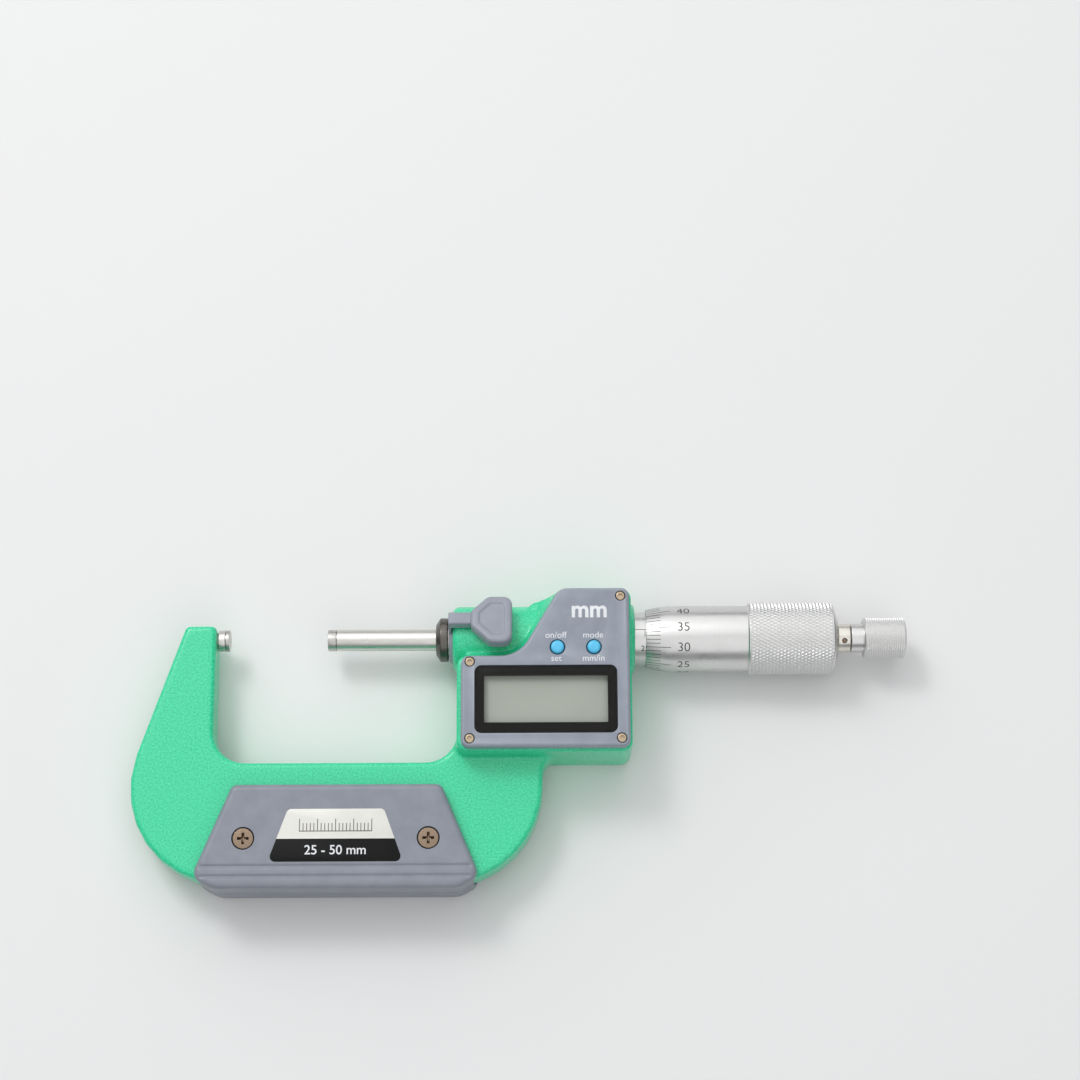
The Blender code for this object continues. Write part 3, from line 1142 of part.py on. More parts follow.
def ratchet():
    """Neck screwed to the spindle, and a knob that clicks round on a spring-loaded washer."""
    bore = NECK_RADIUS - NECK_WALL
    stud_hole = STUD_RADIUS + SEAT_GAP
    floor = NECK_RIGHT - NECK_END_WALL
    neck = [(NECK_RADIUS, NECK_RIGHT), (NECK_RADIUS, NECK_LEFT), (bore, NECK_LEFT), (bore, floor),
            (stud_hole, floor), (stud_hole, NECK_RIGHT)]
    ring = on_axis(turned("ratchet_neck", neck, SMALL_STEPS, SATIN_CHROME, closed=True))
    pin_hole = turned("neck_pin_hole", [(0, NECK_RADIUS + CUT_PAST), (NECK_HOLE, NECK_RADIUS + CUT_PAST),
                                        (NECK_HOLE, bore - SEAT_GAP), (0, bore - SEAT_GAP)], TINY_STEPS)
    pin_hole.location = ((NECK_LEFT + NECK_RIGHT) / 2, 0, 0)
    pin_hole.rotation_euler = (NECK_HOLE_ANGLE, 0, 0)
    cut(ring, pin_hole)
    cavity = NECK_RADIUS - KNOB_WALL
    head_right = KNOB_RIGHT - KNOB_END_WALL
    head_left = head_right - STUD_HEAD_LENGTH
    stud = [(0, head_right), (STUD_HEAD, head_right), (STUD_HEAD, head_left), (STUD_RADIUS, head_left),
            (STUD_RADIUS, floor), (0, floor)]
    on_axis(turned("ratchet_stud", stud, TINY_STEPS, GROUND_STEEL))
    collar_right = KNOB_LEFT + KNOB_COLLAR
    knob = [(0, KNOB_RIGHT), (KNOB_RADIUS - KNOB_CHAMFER, KNOB_RIGHT - KNOB_CROWN),
            (KNOB_RADIUS, KNOB_RIGHT - KNOB_CROWN - KNOB_CHAMFER), (KNOB_RADIUS, collar_right + SEAT_GAP),
            (KNOB_RADIUS - SEAT_GAP, collar_right), (NECK_RADIUS, collar_right), (NECK_RADIUS, KNOB_LEFT),
            (cavity, KNOB_LEFT), (cavity, head_right + SEAT_GAP), (0, head_right + SEAT_GAP)]
    smooth(on_axis(turned("ratchet_knob", knob, SMALL_STEPS, SATIN_CHROME)), 20)
    washer_left = KNOB_LEFT + SEAT_GAP
    washer_right = washer_left + CLICK_WASHER
    pipe("click_washer", washer_left, washer_right, stud_hole, cavity - SEAT_GAP, TINY_STEPS, GROUND_STEEL)
    spring(washer_right + SEAT_GAP, head_left - SEAT_GAP)


def spring(left, right):
    curve = bpy.data.curves.new("ratchet_spring", "CURVE")
    curve.dimensions = "3D"
    curve.bevel_depth = SPRING_WIRE / 2
    curve.bevel_resolution = 0
    curve.use_fill_caps = True
    line = curve.splines.new("POLY")
    count = SPRING_TURNS * SPRING_POINTS_PER_TURN
    line.points.add(count)
    start = left + SPRING_WIRE / 2
    pitch = (right - left - SPRING_WIRE) / count
    for index, point in enumerate(line.points):
        angle = math.radians(360) * index / SPRING_POINTS_PER_TURN
        point.co = (start + pitch * index, SPRING_RADIUS * math.cos(angle), SPRING_RADIUS * math.sin(angle), 1)
    guide = bpy.data.objects.new("spring_guide", curve)
    model.objects.link(guide)
    mesh = baked(guide)
    bpy.data.objects.remove(guide, do_unlink=True)
    solid = bmesh.new()
    solid.from_mesh(mesh)
    bmesh.ops.remove_doubles(solid, verts=solid.verts, dist=1e-7)
    bmesh.ops.recalc_face_normals(solid, faces=solid.faces)
    solid.to_mesh(mesh)
    solid.free()
    smooth(place("ratchet_spring", mesh, GROUND_STEEL), 60)


frame()
anvil()
insulation()
display_cover()
under_cover()
buttons()
battery()
front_end()
lock_lever()
encoder()
sleeves()
spindle()
thimble()
ratchet()
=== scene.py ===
import bpy
import math
from mathutils import Matrix, Vector


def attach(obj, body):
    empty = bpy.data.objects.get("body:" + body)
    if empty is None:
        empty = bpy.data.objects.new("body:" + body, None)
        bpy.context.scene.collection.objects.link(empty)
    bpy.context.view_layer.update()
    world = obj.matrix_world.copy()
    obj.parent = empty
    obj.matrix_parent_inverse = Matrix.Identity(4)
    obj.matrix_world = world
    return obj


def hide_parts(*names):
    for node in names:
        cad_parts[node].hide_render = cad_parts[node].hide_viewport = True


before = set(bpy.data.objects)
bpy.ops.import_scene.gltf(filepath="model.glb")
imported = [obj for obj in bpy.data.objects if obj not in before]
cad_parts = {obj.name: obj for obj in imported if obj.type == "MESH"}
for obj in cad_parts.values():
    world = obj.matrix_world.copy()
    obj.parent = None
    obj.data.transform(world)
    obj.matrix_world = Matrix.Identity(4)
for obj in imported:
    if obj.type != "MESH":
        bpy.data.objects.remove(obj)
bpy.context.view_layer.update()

# ---------------------------------------------------------------------------------------------------
# The frame casting. One piece of iron makes the bow, the box behind the display, the round barrel and
# the hollow sweep between them. The edges come rounded from the mould, the seats are bored, and all of
# it is sprayed with a hammered green enamel.

MM = 0.001
WELD = 1e-6
ROUND_STEPS = 96
CORNER_STEPS = 8
BOW = [(-10.9, 3.0, 1.3), (-33.84, -63.6, 25.0), (80.45, -63.6, 25.0), (80.45, -31.45, 4.2),
       (91.5, -31.45, 0), (91.5, -23.7, 0), (58.85, -23.7, 0), (58.85, -32.7, 8.0),
       (-3.05, -32.7, 8.0), (-3.05, 3.0, 1.3)]
BOW_HALF = 5.0
BOW_EDGE = 1.2
CAST_GRAIN = 0.45
HOUSING = [(58.8, -31.5, 2.6), (103.1, -31.5, 2.6), (103.1, 10.7, 2.6), (84.46, 10.7, 4.2),
           (74.16, -6.8, 7.6), (58.8, -6.8, 2.6)]
HOUSING_BACK = -9.3
HOUSING_BACK_EDGE = 1.9
HOUSING_SEAT = 11.6
HOUSING_SEAT_EDGE = 0.5
BARREL = [(57.5, 0, 0), (57.5, 8.52, 1.6), (96.2, 8.52, 0), (100.2, 8.9, 0), (104.2, 8.9, 0.8),
          (104.2, 0, 0)]
BORE = [(56.5, 0, 0), (56.5, 6.7, 0), (61.2, 6.7, 0), (61.2, 5.2, 0), (75.5, 5.2, 0), (75.5, 7.2, 0),
        (97.0, 7.2, 0), (97.0, 6.29, 0), (101.2, 6.29, 0), (101.2, 7.14, 0), (105.2, 7.14, 0),
        (105.2, 0, 0)]
SWEEP_TURN = math.atan2(HOUSING[3][1] - HOUSING[4][1], HOUSING[3][0] - HOUSING[4][0])
SWEEP_LEFT = 61.0
SWEEP_TOP = 10.95
SWEEP_STEPS = 12
SWEEP = [(-2.0, 0, 0), (0.1, 0, 0), (0.1, -5.2, 4.6), (4.75, -5.2, 0), (4.75, -15.45, 0),
         (-2.0, -15.45, 0)]
SHOULDER = [(60.0, -7.4, 0), (88.4, -7.4, 0), (88.4, 10.55, 0), (84.8, 10.55, 4.0), (78.5, 8.52, 8.0),
            (60.0, 8.52, 0)]
SHOULDER_LOW = -5.5
SHOULDER_HIGH = 11.6
POCKET = [(63.0, -27.8, 2.0), (99.7, -27.8, 2.0), (99.7, -9.6, 2.0), (63.0, -9.6, 2.0)]
POCKET_FLOOR = 9.0
BUTTON_RECESS = [(80.5, -10.1, 0), (97.3, -10.1, 0), (97.3, -0.8, 0), (80.5, -0.8, 0)]
BUTTON_RECESS_FLOOR = 8.7
ANVIL_HOLE = [(-7.95, 0, 0), (-7.95, 2.0, 0), (-1.0, 2.0, 0), (-1.0, 0, 0)]
BATTERY_SEAT = [(-10.3, 7.3), (-7.2, 7.3), (-7.2, 6.2), (9.0, 6.2)]
BATTERY = (81.0, -18.5)


def rest():
    """Leaves edit mode with nothing selected."""
    if bpy.context.mode != "OBJECT":
        bpy.ops.object.mode_set(mode="OBJECT")
    bpy.ops.object.select_all(action="DESELECT")


def pick(piece):
    rest()
    piece.select_set(True)
    bpy.context.view_layer.objects.active = piece


def choose(piece, kind, wanted):
    """Enters edit mode on a piece with those vertices, edges or faces selected that are wanted."""
    pick(piece)
    bpy.ops.object.mode_set(mode="EDIT")
    bpy.ops.mesh.select_mode(type=kind)
    bpy.ops.mesh.select_all(action="DESELECT")
    bpy.ops.object.mode_set(mode="OBJECT")
    mesh = piece.data
    for part in {"VERT": mesh.vertices, "EDGE": mesh.edges, "FACE": mesh.polygons}[kind]:
        part.select = wanted(part)
    bpy.ops.object.mode_set(mode="EDIT")


def everything(part):
    return True


def plan(height):
    """Places an outline's (x, y) flat at a height."""
    return lambda x, y: (x, y, height)


def section(x, radius):
    """Places a turned profile's (x, radius) above the measuring axis."""
    return x, 0, radius


def drawn(name, corners, placed):
    """A flat outline: a disc with a point for each (a, b, radius) corner, rounded by its radius."""
    rest()
    bpy.ops.mesh.primitive_circle_add(vertices=len(corners), radius=MM, fill_type="NGON")
    piece = bpy.context.object
    piece.name = piece.data.name = name
    spots = [Vector(placed(corner[0], corner[1])) * MM for corner in corners]
    for vertex, spot in zip(piece.data.vertices, spots):
        vertex.co = spot
    for spot, corner in zip(spots, corners):
        if corner[2]:
            mesh = piece.data
            tip = min(mesh.vertices, key=lambda vertex: (vertex.co - spot).length)
            arms = [mesh.vertices[end].co - tip.co for edge in mesh.edges for end in edge.vertices
                    if tip.index in edge.vertices and end != tip.index]
            half = (math.pi - arms[0].angle(arms[1])) / 2
            bulge = 1 - (1 / math.cos(half) - 1) / (2 * math.tan(half) * math.sin(half))
            index = tip.index
            choose(piece, "VERT", lambda vertex: vertex.index == index)
            bpy.ops.mesh.bevel(offset=corner[2] * MM * math.tan(half), segments=CORNER_STEPS,
                               profile=bulge ** 2, affect="VERTICES")
            bpy.ops.object.mode_set(mode="OBJECT")
    return piece


def raised(piece, height, along=(0, 0, 1)):
    """Gives a flat outline its thickness."""
    choose(piece, "FACE", everything)
    travel = Vector(along) * height * MM
    bpy.ops.mesh.extrude_region_move(TRANSFORM_OT_translate={"value": travel})
    bpy.ops.mesh.select_all(action="SELECT")
    bpy.ops.mesh.normals_make_consistent(inside=False)
    rest()
    return piece


def eased(piece, height, width, steps=4):
    """Rounds the edges of a piece that lie at a height."""
    points = piece.data.vertices
    choose(piece, "EDGE",
           lambda edge: all(abs(points[end].co.z - height * MM) < WELD for end in edge.vertices))
    bpy.ops.mesh.bevel(offset=width * MM, segments=steps, profile=0.5, affect="EDGES")
    rest()


def turned(name, corners, steps=ROUND_STEPS):
    """A lathe part: its half section spun about the measuring axis."""
    piece = drawn(name, corners, section)
    choose(piece, "FACE", everything)
    bpy.ops.mesh.delete(type="ONLY_FACE")
    points = piece.data.vertices
    choose(piece, "EDGE", lambda edge: all(abs(points[end].co.z) < 1e-7 for end in edge.vertices))
    bpy.ops.mesh.delete(type="EDGE")
    choose(piece, "VERT", everything)
    bpy.ops.mesh.spin(steps=steps, angle=math.tau, center=(0, 0, 0), axis=(1, 0, 0))
    bpy.ops.mesh.select_all(action="SELECT")
    bpy.ops.mesh.remove_doubles(threshold=WELD)
    bpy.ops.mesh.normals_make_consistent(inside=False)
    rest()
    return piece


def shaped(piece, kind, **settings):
    """Applies one modifier to a piece."""
    pick(piece)
    modifier = piece.modifiers.new(kind.lower(), kind)
    for setting, value in settings.items():
        setattr(modifier, setting, value)
    bpy.ops.object.modifier_apply(modifier=modifier.name)


def cut(piece, tool, way="DIFFERENCE"):
    """Cuts a piece with a tool, which is used up."""
    shaped(piece, "BOOLEAN", operation=way, object=tool, solver="EXACT")
    bpy.data.objects.remove(tool)


def joined(piece, *others):
    """Makes several meshes one piece."""
    pick(piece)
    for other in others:
        other.select_set(True)
    bpy.ops.object.join()
    return piece


def upright(name, spot, profile, steps=48):
    """A part turned about an upright line through a spot, from (height, radius) corners."""
    corners = [(profile[0][0], 0, 0)] + [tuple(corner) + (0,) * (3 - len(corner)) for corner in profile]
    piece = turned(name, corners + [(profile[-1][0], 0, 0)], steps)
    stand_up = Matrix(((0, 0, -1, spot[0] * MM), (0, 1, 0, spot[1] * MM), (1, 0, 0, 0), (0, 0, 0, 1)))
    piece.data.transform(stand_up)
    return piece


def smoothed(piece, degrees=32):
    pick(piece)
    bpy.ops.object.shade_smooth_by_angle(angle=math.radians(degrees))


def effect(name):
    """An empty effect group: a place and a scale go in, and masks for shade, relief and rub come out."""
    group = bpy.data.node_groups.new(name, "ShaderNodeTree")
    group.interface.new_socket(name="Vector", in_out="INPUT", socket_type="NodeSocketVector")
    group.interface.new_socket(name="Scale", in_out="INPUT", socket_type="NodeSocketFloat")
    for mask in ("Shade", "Relief", "Rub"):
        group.interface.new_socket(name=mask, in_out="OUTPUT", socket_type="NodeSocketFloat")
    return group, group.nodes.new("NodeGroupInput"), group.nodes.new("NodeGroupOutput")


def cloud(group, spot, scale, times, detail, low, high):
    """A noise in a group, `times` finer than its scale, with low..high spread to 0..1."""
    finer = group.nodes.new("ShaderNodeMath")
    finer.operation = "MULTIPLY"
    finer.inputs[1].default_value = times
    group.links.new(scale, finer.inputs[0])
    noise = group.nodes.new("ShaderNodeTexNoise")
    noise.inputs["Detail"].default_value = detail
    group.links.new(spot, noise.inputs["Vector"])
    group.links.new(finer.outputs[0], noise.inputs["Scale"])
    spread = group.nodes.new("ShaderNodeMapRange")
    spread.inputs["From Min"].default_value = low
    spread.inputs["From Max"].default_value = high
    group.links.new(noise.outputs["Fac"], spread.inputs["Value"])
    return spread.outputs["Result"]


hammered, inlet, outlet = effect("hammered_spray")
spot, scale = inlet.outputs["Vector"], inlet.outputs["Scale"]
hammered.links.new(cloud(hammered, spot, scale, 1.0, 3.0, 0.30, 0.62), outlet.inputs["Shade"])
hammered.links.new(cloud(hammered, spot, scale, 0.6, 2.0, 0.30, 0.70), outlet.inputs["Relief"])
hammered.links.new(cloud(hammered, spot, scale, 0.05, 3.0, 0.35, 0.65), outlet.inputs["Rub"])


def tone(red, green, blue):
    """A shade as 0..255 on a screen, as the linear colour that a shader takes."""
    shares = [value / 255 for value in (red, green, blue)]
    linear = [share / 12.92 if share < 0.04 else ((share + 0.055) / 1.055) ** 2.4
              for share in shares]
    return linear + [1]


def finish(name, effect_name, scale, shades, gloss, relief, metal=0.0, coat=0.0):
    """A surface finish: two shades, a range of roughness and a relief in mm, laid by an effect."""
    material = bpy.data.materials.new(name)
    material.use_nodes = True
    nodes, links = material.node_tree.nodes, material.node_tree.links
    shader = nodes["Principled BSDF"]
    shader.inputs["Metallic"].default_value = metal
    shader.inputs["Coat Weight"].default_value = coat
    shader.inputs["Coat Roughness"].default_value = 0.15
    place = nodes.new("ShaderNodeTexCoord")
    pattern = nodes.new("ShaderNodeGroup")
    pattern.node_tree = bpy.data.node_groups[effect_name]
    pattern.inputs["Scale"].default_value = scale
    links.new(place.outputs["Object"], pattern.inputs["Vector"])
    ramp = nodes.new("ShaderNodeValToRGB")
    for stop, shade in zip(ramp.color_ramp.elements, shades):
        stop.color = tone(*shade)
    links.new(pattern.outputs["Shade"], ramp.inputs["Fac"])
    links.new(ramp.outputs["Color"], shader.inputs["Base Color"])
    rub = nodes.new("ShaderNodeMapRange")
    rub.inputs["To Min"].default_value, rub.inputs["To Max"].default_value = gloss
    links.new(pattern.outputs["Rub"], rub.inputs["Value"])
    links.new(rub.outputs["Result"], shader.inputs["Roughness"])
    bump = nodes.new("ShaderNodeBump")
    bump.inputs["Distance"].default_value = relief * MM
    links.new(pattern.outputs["Relief"], bump.inputs["Height"])
    links.new(bump.outputs["Normal"], shader.inputs["Normal"])
    return material


def dressed(piece, material):
    piece.data.materials.clear()
    piece.data.materials.append(material)


enamel = finish("hammered_green_enamel", "hammered_spray", 2200, ((28, 196, 138), (66, 226, 172)),
                (0.28, 0.38), 0.02, coat=0.25)

casting = raised(drawn("enamelled_frame", BOW, plan(-BOW_HALF)), 2 * BOW_HALF)
eased(casting, BOW_HALF, BOW_EDGE)
eased(casting, -BOW_HALF, BOW_EDGE)
housing = raised(drawn("housing", HOUSING, plan(HOUSING_BACK)), HOUSING_SEAT - HOUSING_BACK)
eased(housing, HOUSING_SEAT, HOUSING_SEAT_EDGE, 3)
eased(housing, HOUSING_BACK, HOUSING_BACK_EDGE, 5)
barrel = turned("barrel", BARREL)

shelf = HOUSING[4][1]
sweep = drawn("sweep", SWEEP, lambda across, up: (SWEEP_LEFT, shelf + across, SWEEP_TOP + up))
into = HOUSING[4][2] * math.tan(SWEEP_TURN / 2)
out = HOUSING[3][2] * math.tan(SWEEP_TURN / 2)
slant = Vector((math.cos(SWEEP_TURN), math.sin(SWEEP_TURN), 0))
slant_length = (Vector(HOUSING[3][:2]) - Vector(HOUSING[4][:2])).length - into - out
hollow_centre = Vector((HOUSING[4][0] - into, shelf + HOUSING[4][2], 0)) * MM
top_start = Vector((HOUSING[4][0], shelf, 0)) + slant * (into + slant_length)
top_centre = (top_start + HOUSING[3][2] * Vector((slant.y, -slant.x, 0))) * MM
choose(sweep, "FACE", everything)
run = (HOUSING[4][0] - into - SWEEP_LEFT) * MM
bpy.ops.mesh.extrude_region_move(TRANSFORM_OT_translate={"value": (run, 0, 0)})
bpy.ops.mesh.spin(steps=SWEEP_STEPS, angle=-SWEEP_TURN, center=hollow_centre, axis=(0, 0, 1))
bpy.ops.mesh.extrude_region_move(TRANSFORM_OT_translate={"value": slant * slant_length * MM})
bpy.ops.mesh.spin(steps=SWEEP_STEPS, angle=SWEEP_TURN, center=top_centre, axis=(0, 0, 1))
bpy.ops.mesh.select_all(action="SELECT")
bpy.ops.mesh.remove_doubles(threshold=WELD)
bpy.ops.mesh.normals_make_consistent(inside=False)
shoulder = raised(drawn("shoulder", SHOULDER, plan(SHOULDER_LOW)), SHOULDER_HIGH - SHOULDER_LOW)
cut(sweep, shoulder, "INTERSECT")
shaped(sweep, "REMESH", mode="VOXEL", voxel_size=CAST_GRAIN * MM)
shaped(sweep, "SMOOTH", factor=0.5, iterations=14)

joined(casting, housing, barrel, sweep)
shaped(casting, "REMESH", mode="VOXEL", voxel_size=CAST_GRAIN * MM)
shaped(casting, "SMOOTH", factor=0.5, iterations=6)
cut(casting, turned("bore", BORE))
cut(casting, raised(drawn("pocket", POCKET, plan(POCKET_FLOOR)), 4.0))
cut(casting, raised(drawn("button_recess", BUTTON_RECESS, plan(BUTTON_RECESS_FLOOR)), 4.0))
cut(casting, upright("battery_seat", BATTERY, BATTERY_SEAT, 64))
cut(casting, turned("anvil_hole", ANVIL_HOLE, 48))
smoothed(casting, 40)
dressed(casting, enamel)
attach(casting, "frame_body")
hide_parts("frame")

# ---------------------------------------------------------------------------------------------------
# The anvil: a hardened steel stub pressed into the arm of the bow and ground all over, with a disc of
# carbide brazed to its face.

ANVIL = [(-7.65, 0, 0), (-7.65, 1.7, 0.3), (-2.75, 1.7, 0), (-2.75, 2.75, 0.15), (-1.1, 2.75, 0.08),
         (-1.1, 0, 0)]
ANVIL_TIP = [(-1.0, 0, 0), (-1.0, 2.75, 0.08), (0, 2.75, 0.12), (0, 0, 0)]

rings, inlet, outlet = effect("lathe_rings")
apart = rings.nodes.new("ShaderNodeSeparateXYZ")
upright_part = rings.nodes.new("ShaderNodeCombineXYZ")
radius = rings.nodes.new("ShaderNodeVectorMath")
radius.operation = "LENGTH"
reach = rings.nodes.new("ShaderNodeMath")
along = rings.nodes.new("ShaderNodeCombineXYZ")
rings.links.new(inlet.outputs["Vector"], apart.inputs["Vector"])
rings.links.new(apart.outputs["Y"], upright_part.inputs["Y"])
rings.links.new(apart.outputs["Z"], upright_part.inputs["Z"])
rings.links.new(upright_part.outputs["Vector"], radius.inputs[0])
rings.links.new(apart.outputs["X"], reach.inputs[0])
rings.links.new(radius.outputs["Value"], reach.inputs[1])
rings.links.new(reach.outputs["Value"], along.inputs["X"])
line, spot, scale = along.outputs["Vector"], inlet.outputs["Vector"], inlet.outputs["Scale"]
rings.links.new(cloud(rings, line, scale, 1.0, 3.0, 0.25, 0.75), outlet.inputs["Shade"])
rings.links.new(cloud(rings, line, scale, 1.7, 2.0, 0.25, 0.75), outlet.inputs["Relief"])
rings.links.new(cloud(rings, spot, scale, 0.03, 3.0, 0.35, 0.65), outlet.inputs["Rub"])

ground_steel = finish("ground_steel", "lathe_rings", 9000, ((200, 198, 193), (226, 224, 219)),
                      (0.27, 0.35), 0.002, metal=1.0)
carbide = finish("carbide", "lathe_rings", 15000, ((184, 182, 179), (206, 204, 200)),
                 (0.28, 0.36), 0.001, metal=1.0)

anvil = turned("ground_anvil", ANVIL, 64)
smoothed(anvil)
dressed(anvil, ground_steel)
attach(anvil, "frame_body")
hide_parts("anvil")
anvil_face = turned("carbide_anvil_face", ANVIL_TIP, 64)
smoothed(anvil_face)
dressed(anvil_face, carbide)
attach(anvil_face, "frame_body")
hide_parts("anvil_tip")

# ---------------------------------------------------------------------------------------------------
# Insulation plates: two mouldings of grey plastic that wrap the lower edge of the bow, front and back,
# and keep the warmth of the hand off the iron. Two grooves run along the foot of each.

PLATE_MIDDLE = 28.8
PLATE_FOOT = -65.2
PLATE = [(2.6, -39.0, 2.0), (-7.1, -62.2, 3.0), (-1.7, PLATE_FOOT, 6.5), (59.3, PLATE_FOOT, 6.5),
         (64.7, -62.2, 3.0), (55.0, -39.0, 2.0)]
PLATE_LOW = 0.15
PLATE_FACE = 9.3
PLATE_RIM = 1.4
PLATE_GRAIN = 0.3
BED_CLEARANCE = 0.3
GROOVES = (-59.7, -62.2)
GROOVE_LENGTH_HALF = 34
GROOVE_HALF = 0.5
FACE_RECESS = 8.85
CHAMFER_ANGLE = math.radians(38)
CHAMFER_HEIGHT = 5
PLATE_SCREWS = [(PLATE_MIDDLE - 23.07, -52.7), (PLATE_MIDDLE + 23.07, -52.7)]
COUNTERSINK = [(4.0, 1.8), (6.9, 1.8), (8.2, 2.88), (10.5, 2.88)]
LABEL = [(40.8, -45.4, 1.3), (16.8, -45.4, 1.3), (12.0, -58.6, 1.3), (45.6, -58.6, 1.3)]


def rectangle(left, bottom, right, top, corner=0):
    return [(left, bottom, corner), (right, bottom, corner), (right, top, corner), (left, top, corner)]


moulded, inlet, outlet = effect("moulded_plastic")
spot, scale = inlet.outputs["Vector"], inlet.outputs["Scale"]
moulded.links.new(cloud(moulded, spot, scale, 0.06, 4.0, 0.30, 0.70), outlet.inputs["Shade"])
moulded.links.new(cloud(moulded, spot, scale, 1.0, 2.0, 0.25, 0.75), outlet.inputs["Relief"])
moulded.links.new(cloud(moulded, spot, scale, 0.03, 3.0, 0.35, 0.65), outlet.inputs["Rub"])

grey_plastic = finish("grey_moulded_plastic", "moulded_plastic", 4500,
                      ((133, 138, 149), (142, 147, 158)), (0.34, 0.44), 0.008)

plate = raised(drawn("front_grip_plate", PLATE, plan(PLATE_LOW)), PLATE_FACE - PLATE_LOW)
eased(plate, PLATE_FACE, PLATE_RIM, 5)
cut(plate, raised(drawn("bow_bed", BOW, lambda x, y: (x, y - BED_CLEARANCE, -1.0)),
                  BOW_HALF + BED_CLEARANCE + 1.0))
for height in GROOVES:
    groove = rectangle(PLATE_MIDDLE - GROOVE_LENGTH_HALF, height - GROOVE_HALF,
                       PLATE_MIDDLE + GROOVE_LENGTH_HALF, height + GROOVE_HALF)
    cut(plate, raised(drawn("groove", groove, plan(FACE_RECESS)), 1.0))
chamfer = raised(drawn("chamfer", rectangle(-40, -25, 40, 0), plan(0)), 25)
chamfer.data.transform(Matrix.Translation(Vector((PLATE_MIDDLE, PLATE_FOOT, CHAMFER_HEIGHT)) * MM)
                       @ Matrix.Rotation(CHAMFER_ANGLE, 4, "X"))
cut(plate, chamfer)
shaped(plate, "REMESH", mode="VOXEL", voxel_size=PLATE_GRAIN * MM)
shaped(plate, "SMOOTH", factor=0.5, iterations=4)
for spot in PLATE_SCREWS:
    cut(plate, upright("countersink", spot, COUNTERSINK))
pick(plate)
bpy.ops.object.duplicate()
back_plate = bpy.context.object
back_plate.name = back_plate.data.name = "back_grip_plate"
choose(back_plate, "FACE", everything)
bpy.ops.transform.resize(value=(1, 1, -1), center_override=(0, 0, 0))
bpy.ops.mesh.normals_make_consistent(inside=False)
cut(plate, raised(drawn("label_recess", LABEL, plan(FACE_RECESS)), 1.0))
for piece, node in ((plate, "front_insulation_plate"), (back_plate, "back_insulation_plate")):
    smoothed(piece, 40)
    dressed(piece, grey_plastic)
    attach(piece, "frame_body")
    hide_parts(node)

# ---------------------------------------------------------------------------------------------------
# Plate screws: four countersunk screws with a cross recess, bronzed, that hold the two plates against
# the bow. One is turned and stamped; the others are copies, two of them from behind.

PLATE_SCREW_TOP = 9.0
PLATE_SCREW = [(1.8, 1.5), (7.3, 1.5), (8.6, 2.58), (PLATE_SCREW_TOP, 2.58, 0.12)]
CROSS_ARM = 1.5
CROSS_HALF = 0.36
CROSS_DEPTH = 1.15
CROSS_DRAFT = 0.45
CROSS_TURN = math.radians(28)

bronzed = finish("bronzed_screw_steel", "lathe_rings", 5000, ((118, 101, 86), (158, 139, 120)),
                 (0.28, 0.42), 0.006, metal=1.0)

blank = upright("plate_screw", PLATE_SCREWS[0], PLATE_SCREW)
x, y = PLATE_SCREWS[0]
cross = [(CROSS_ARM, -CROSS_HALF), (CROSS_ARM, CROSS_HALF), (CROSS_HALF, CROSS_HALF),
         (CROSS_HALF, CROSS_ARM), (-CROSS_HALF, CROSS_ARM), (-CROSS_HALF, CROSS_HALF),
         (-CROSS_ARM, CROSS_HALF), (-CROSS_ARM, -CROSS_HALF), (-CROSS_HALF, -CROSS_HALF),
         (-CROSS_HALF, -CROSS_ARM), (CROSS_HALF, -CROSS_ARM), (CROSS_HALF, -CROSS_HALF)]
driver = drawn("cross_driver", [corner + (0,) for corner in cross],
               lambda across, up: (x + across, y + up, PLATE_SCREW_TOP + 0.05))
choose(driver, "FACE", everything)
bpy.ops.mesh.extrude_region_move(TRANSFORM_OT_translate={"value": (0, 0, -CROSS_DEPTH * MM)})
bpy.ops.transform.resize(value=(CROSS_DRAFT, CROSS_DRAFT, 1), center_override=(x * MM, y * MM, 0))
bpy.ops.mesh.select_all(action="SELECT")
bpy.ops.mesh.normals_make_consistent(inside=False)
turn = Matrix.Translation((x * MM, y * MM, 0)) @ Matrix.Rotation(CROSS_TURN, 4, "Z")
driver.data.transform(turn @ Matrix.Translation((-x * MM, -y * MM, 0)))
cut(blank, driver)
smoothed(blank, 35)
dressed(blank, bronzed)


def copied(piece, name, move):
    """A copy with its own mesh, placed by a matrix."""
    pick(piece)
    bpy.ops.object.duplicate()
    twin = bpy.context.object
    twin.name = twin.data.name = name
    twin.data.transform(move)
    return twin


other_end = Matrix.Translation(((PLATE_SCREWS[1][0] - x) * MM, 0, 0))
from_behind = Matrix.Translation((0, 2 * y * MM, 0)) @ Matrix.Rotation(math.pi, 4, "X")
plate_screws = {"front_left": Matrix.Identity(4), "front_right": other_end,
                "back_left": from_behind, "back_right": other_end @ from_behind}
for end, move in plate_screws.items():
    screw = copied(blank, f"bronzed_plate_screw_{end}", move)
    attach(screw, "frame_body")
    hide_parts(f"plate_screw_{end}")
bpy.data.objects.remove(blank)

# ---------------------------------------------------------------------------------------------------
# Range label: a thin foil let into the front plate, white above with a plain scale, black below with
# the measuring range printed in white.

LABEL_LOW = 9.0
LABEL_HIGH = 9.4
LABEL_SPLIT = -52.9
SCALE_PITCH = 0.9
SCALE_FOOT = -50.9
SCALE_LINE = 0.09
SCALE_SIDE = 10
INK = 0.012

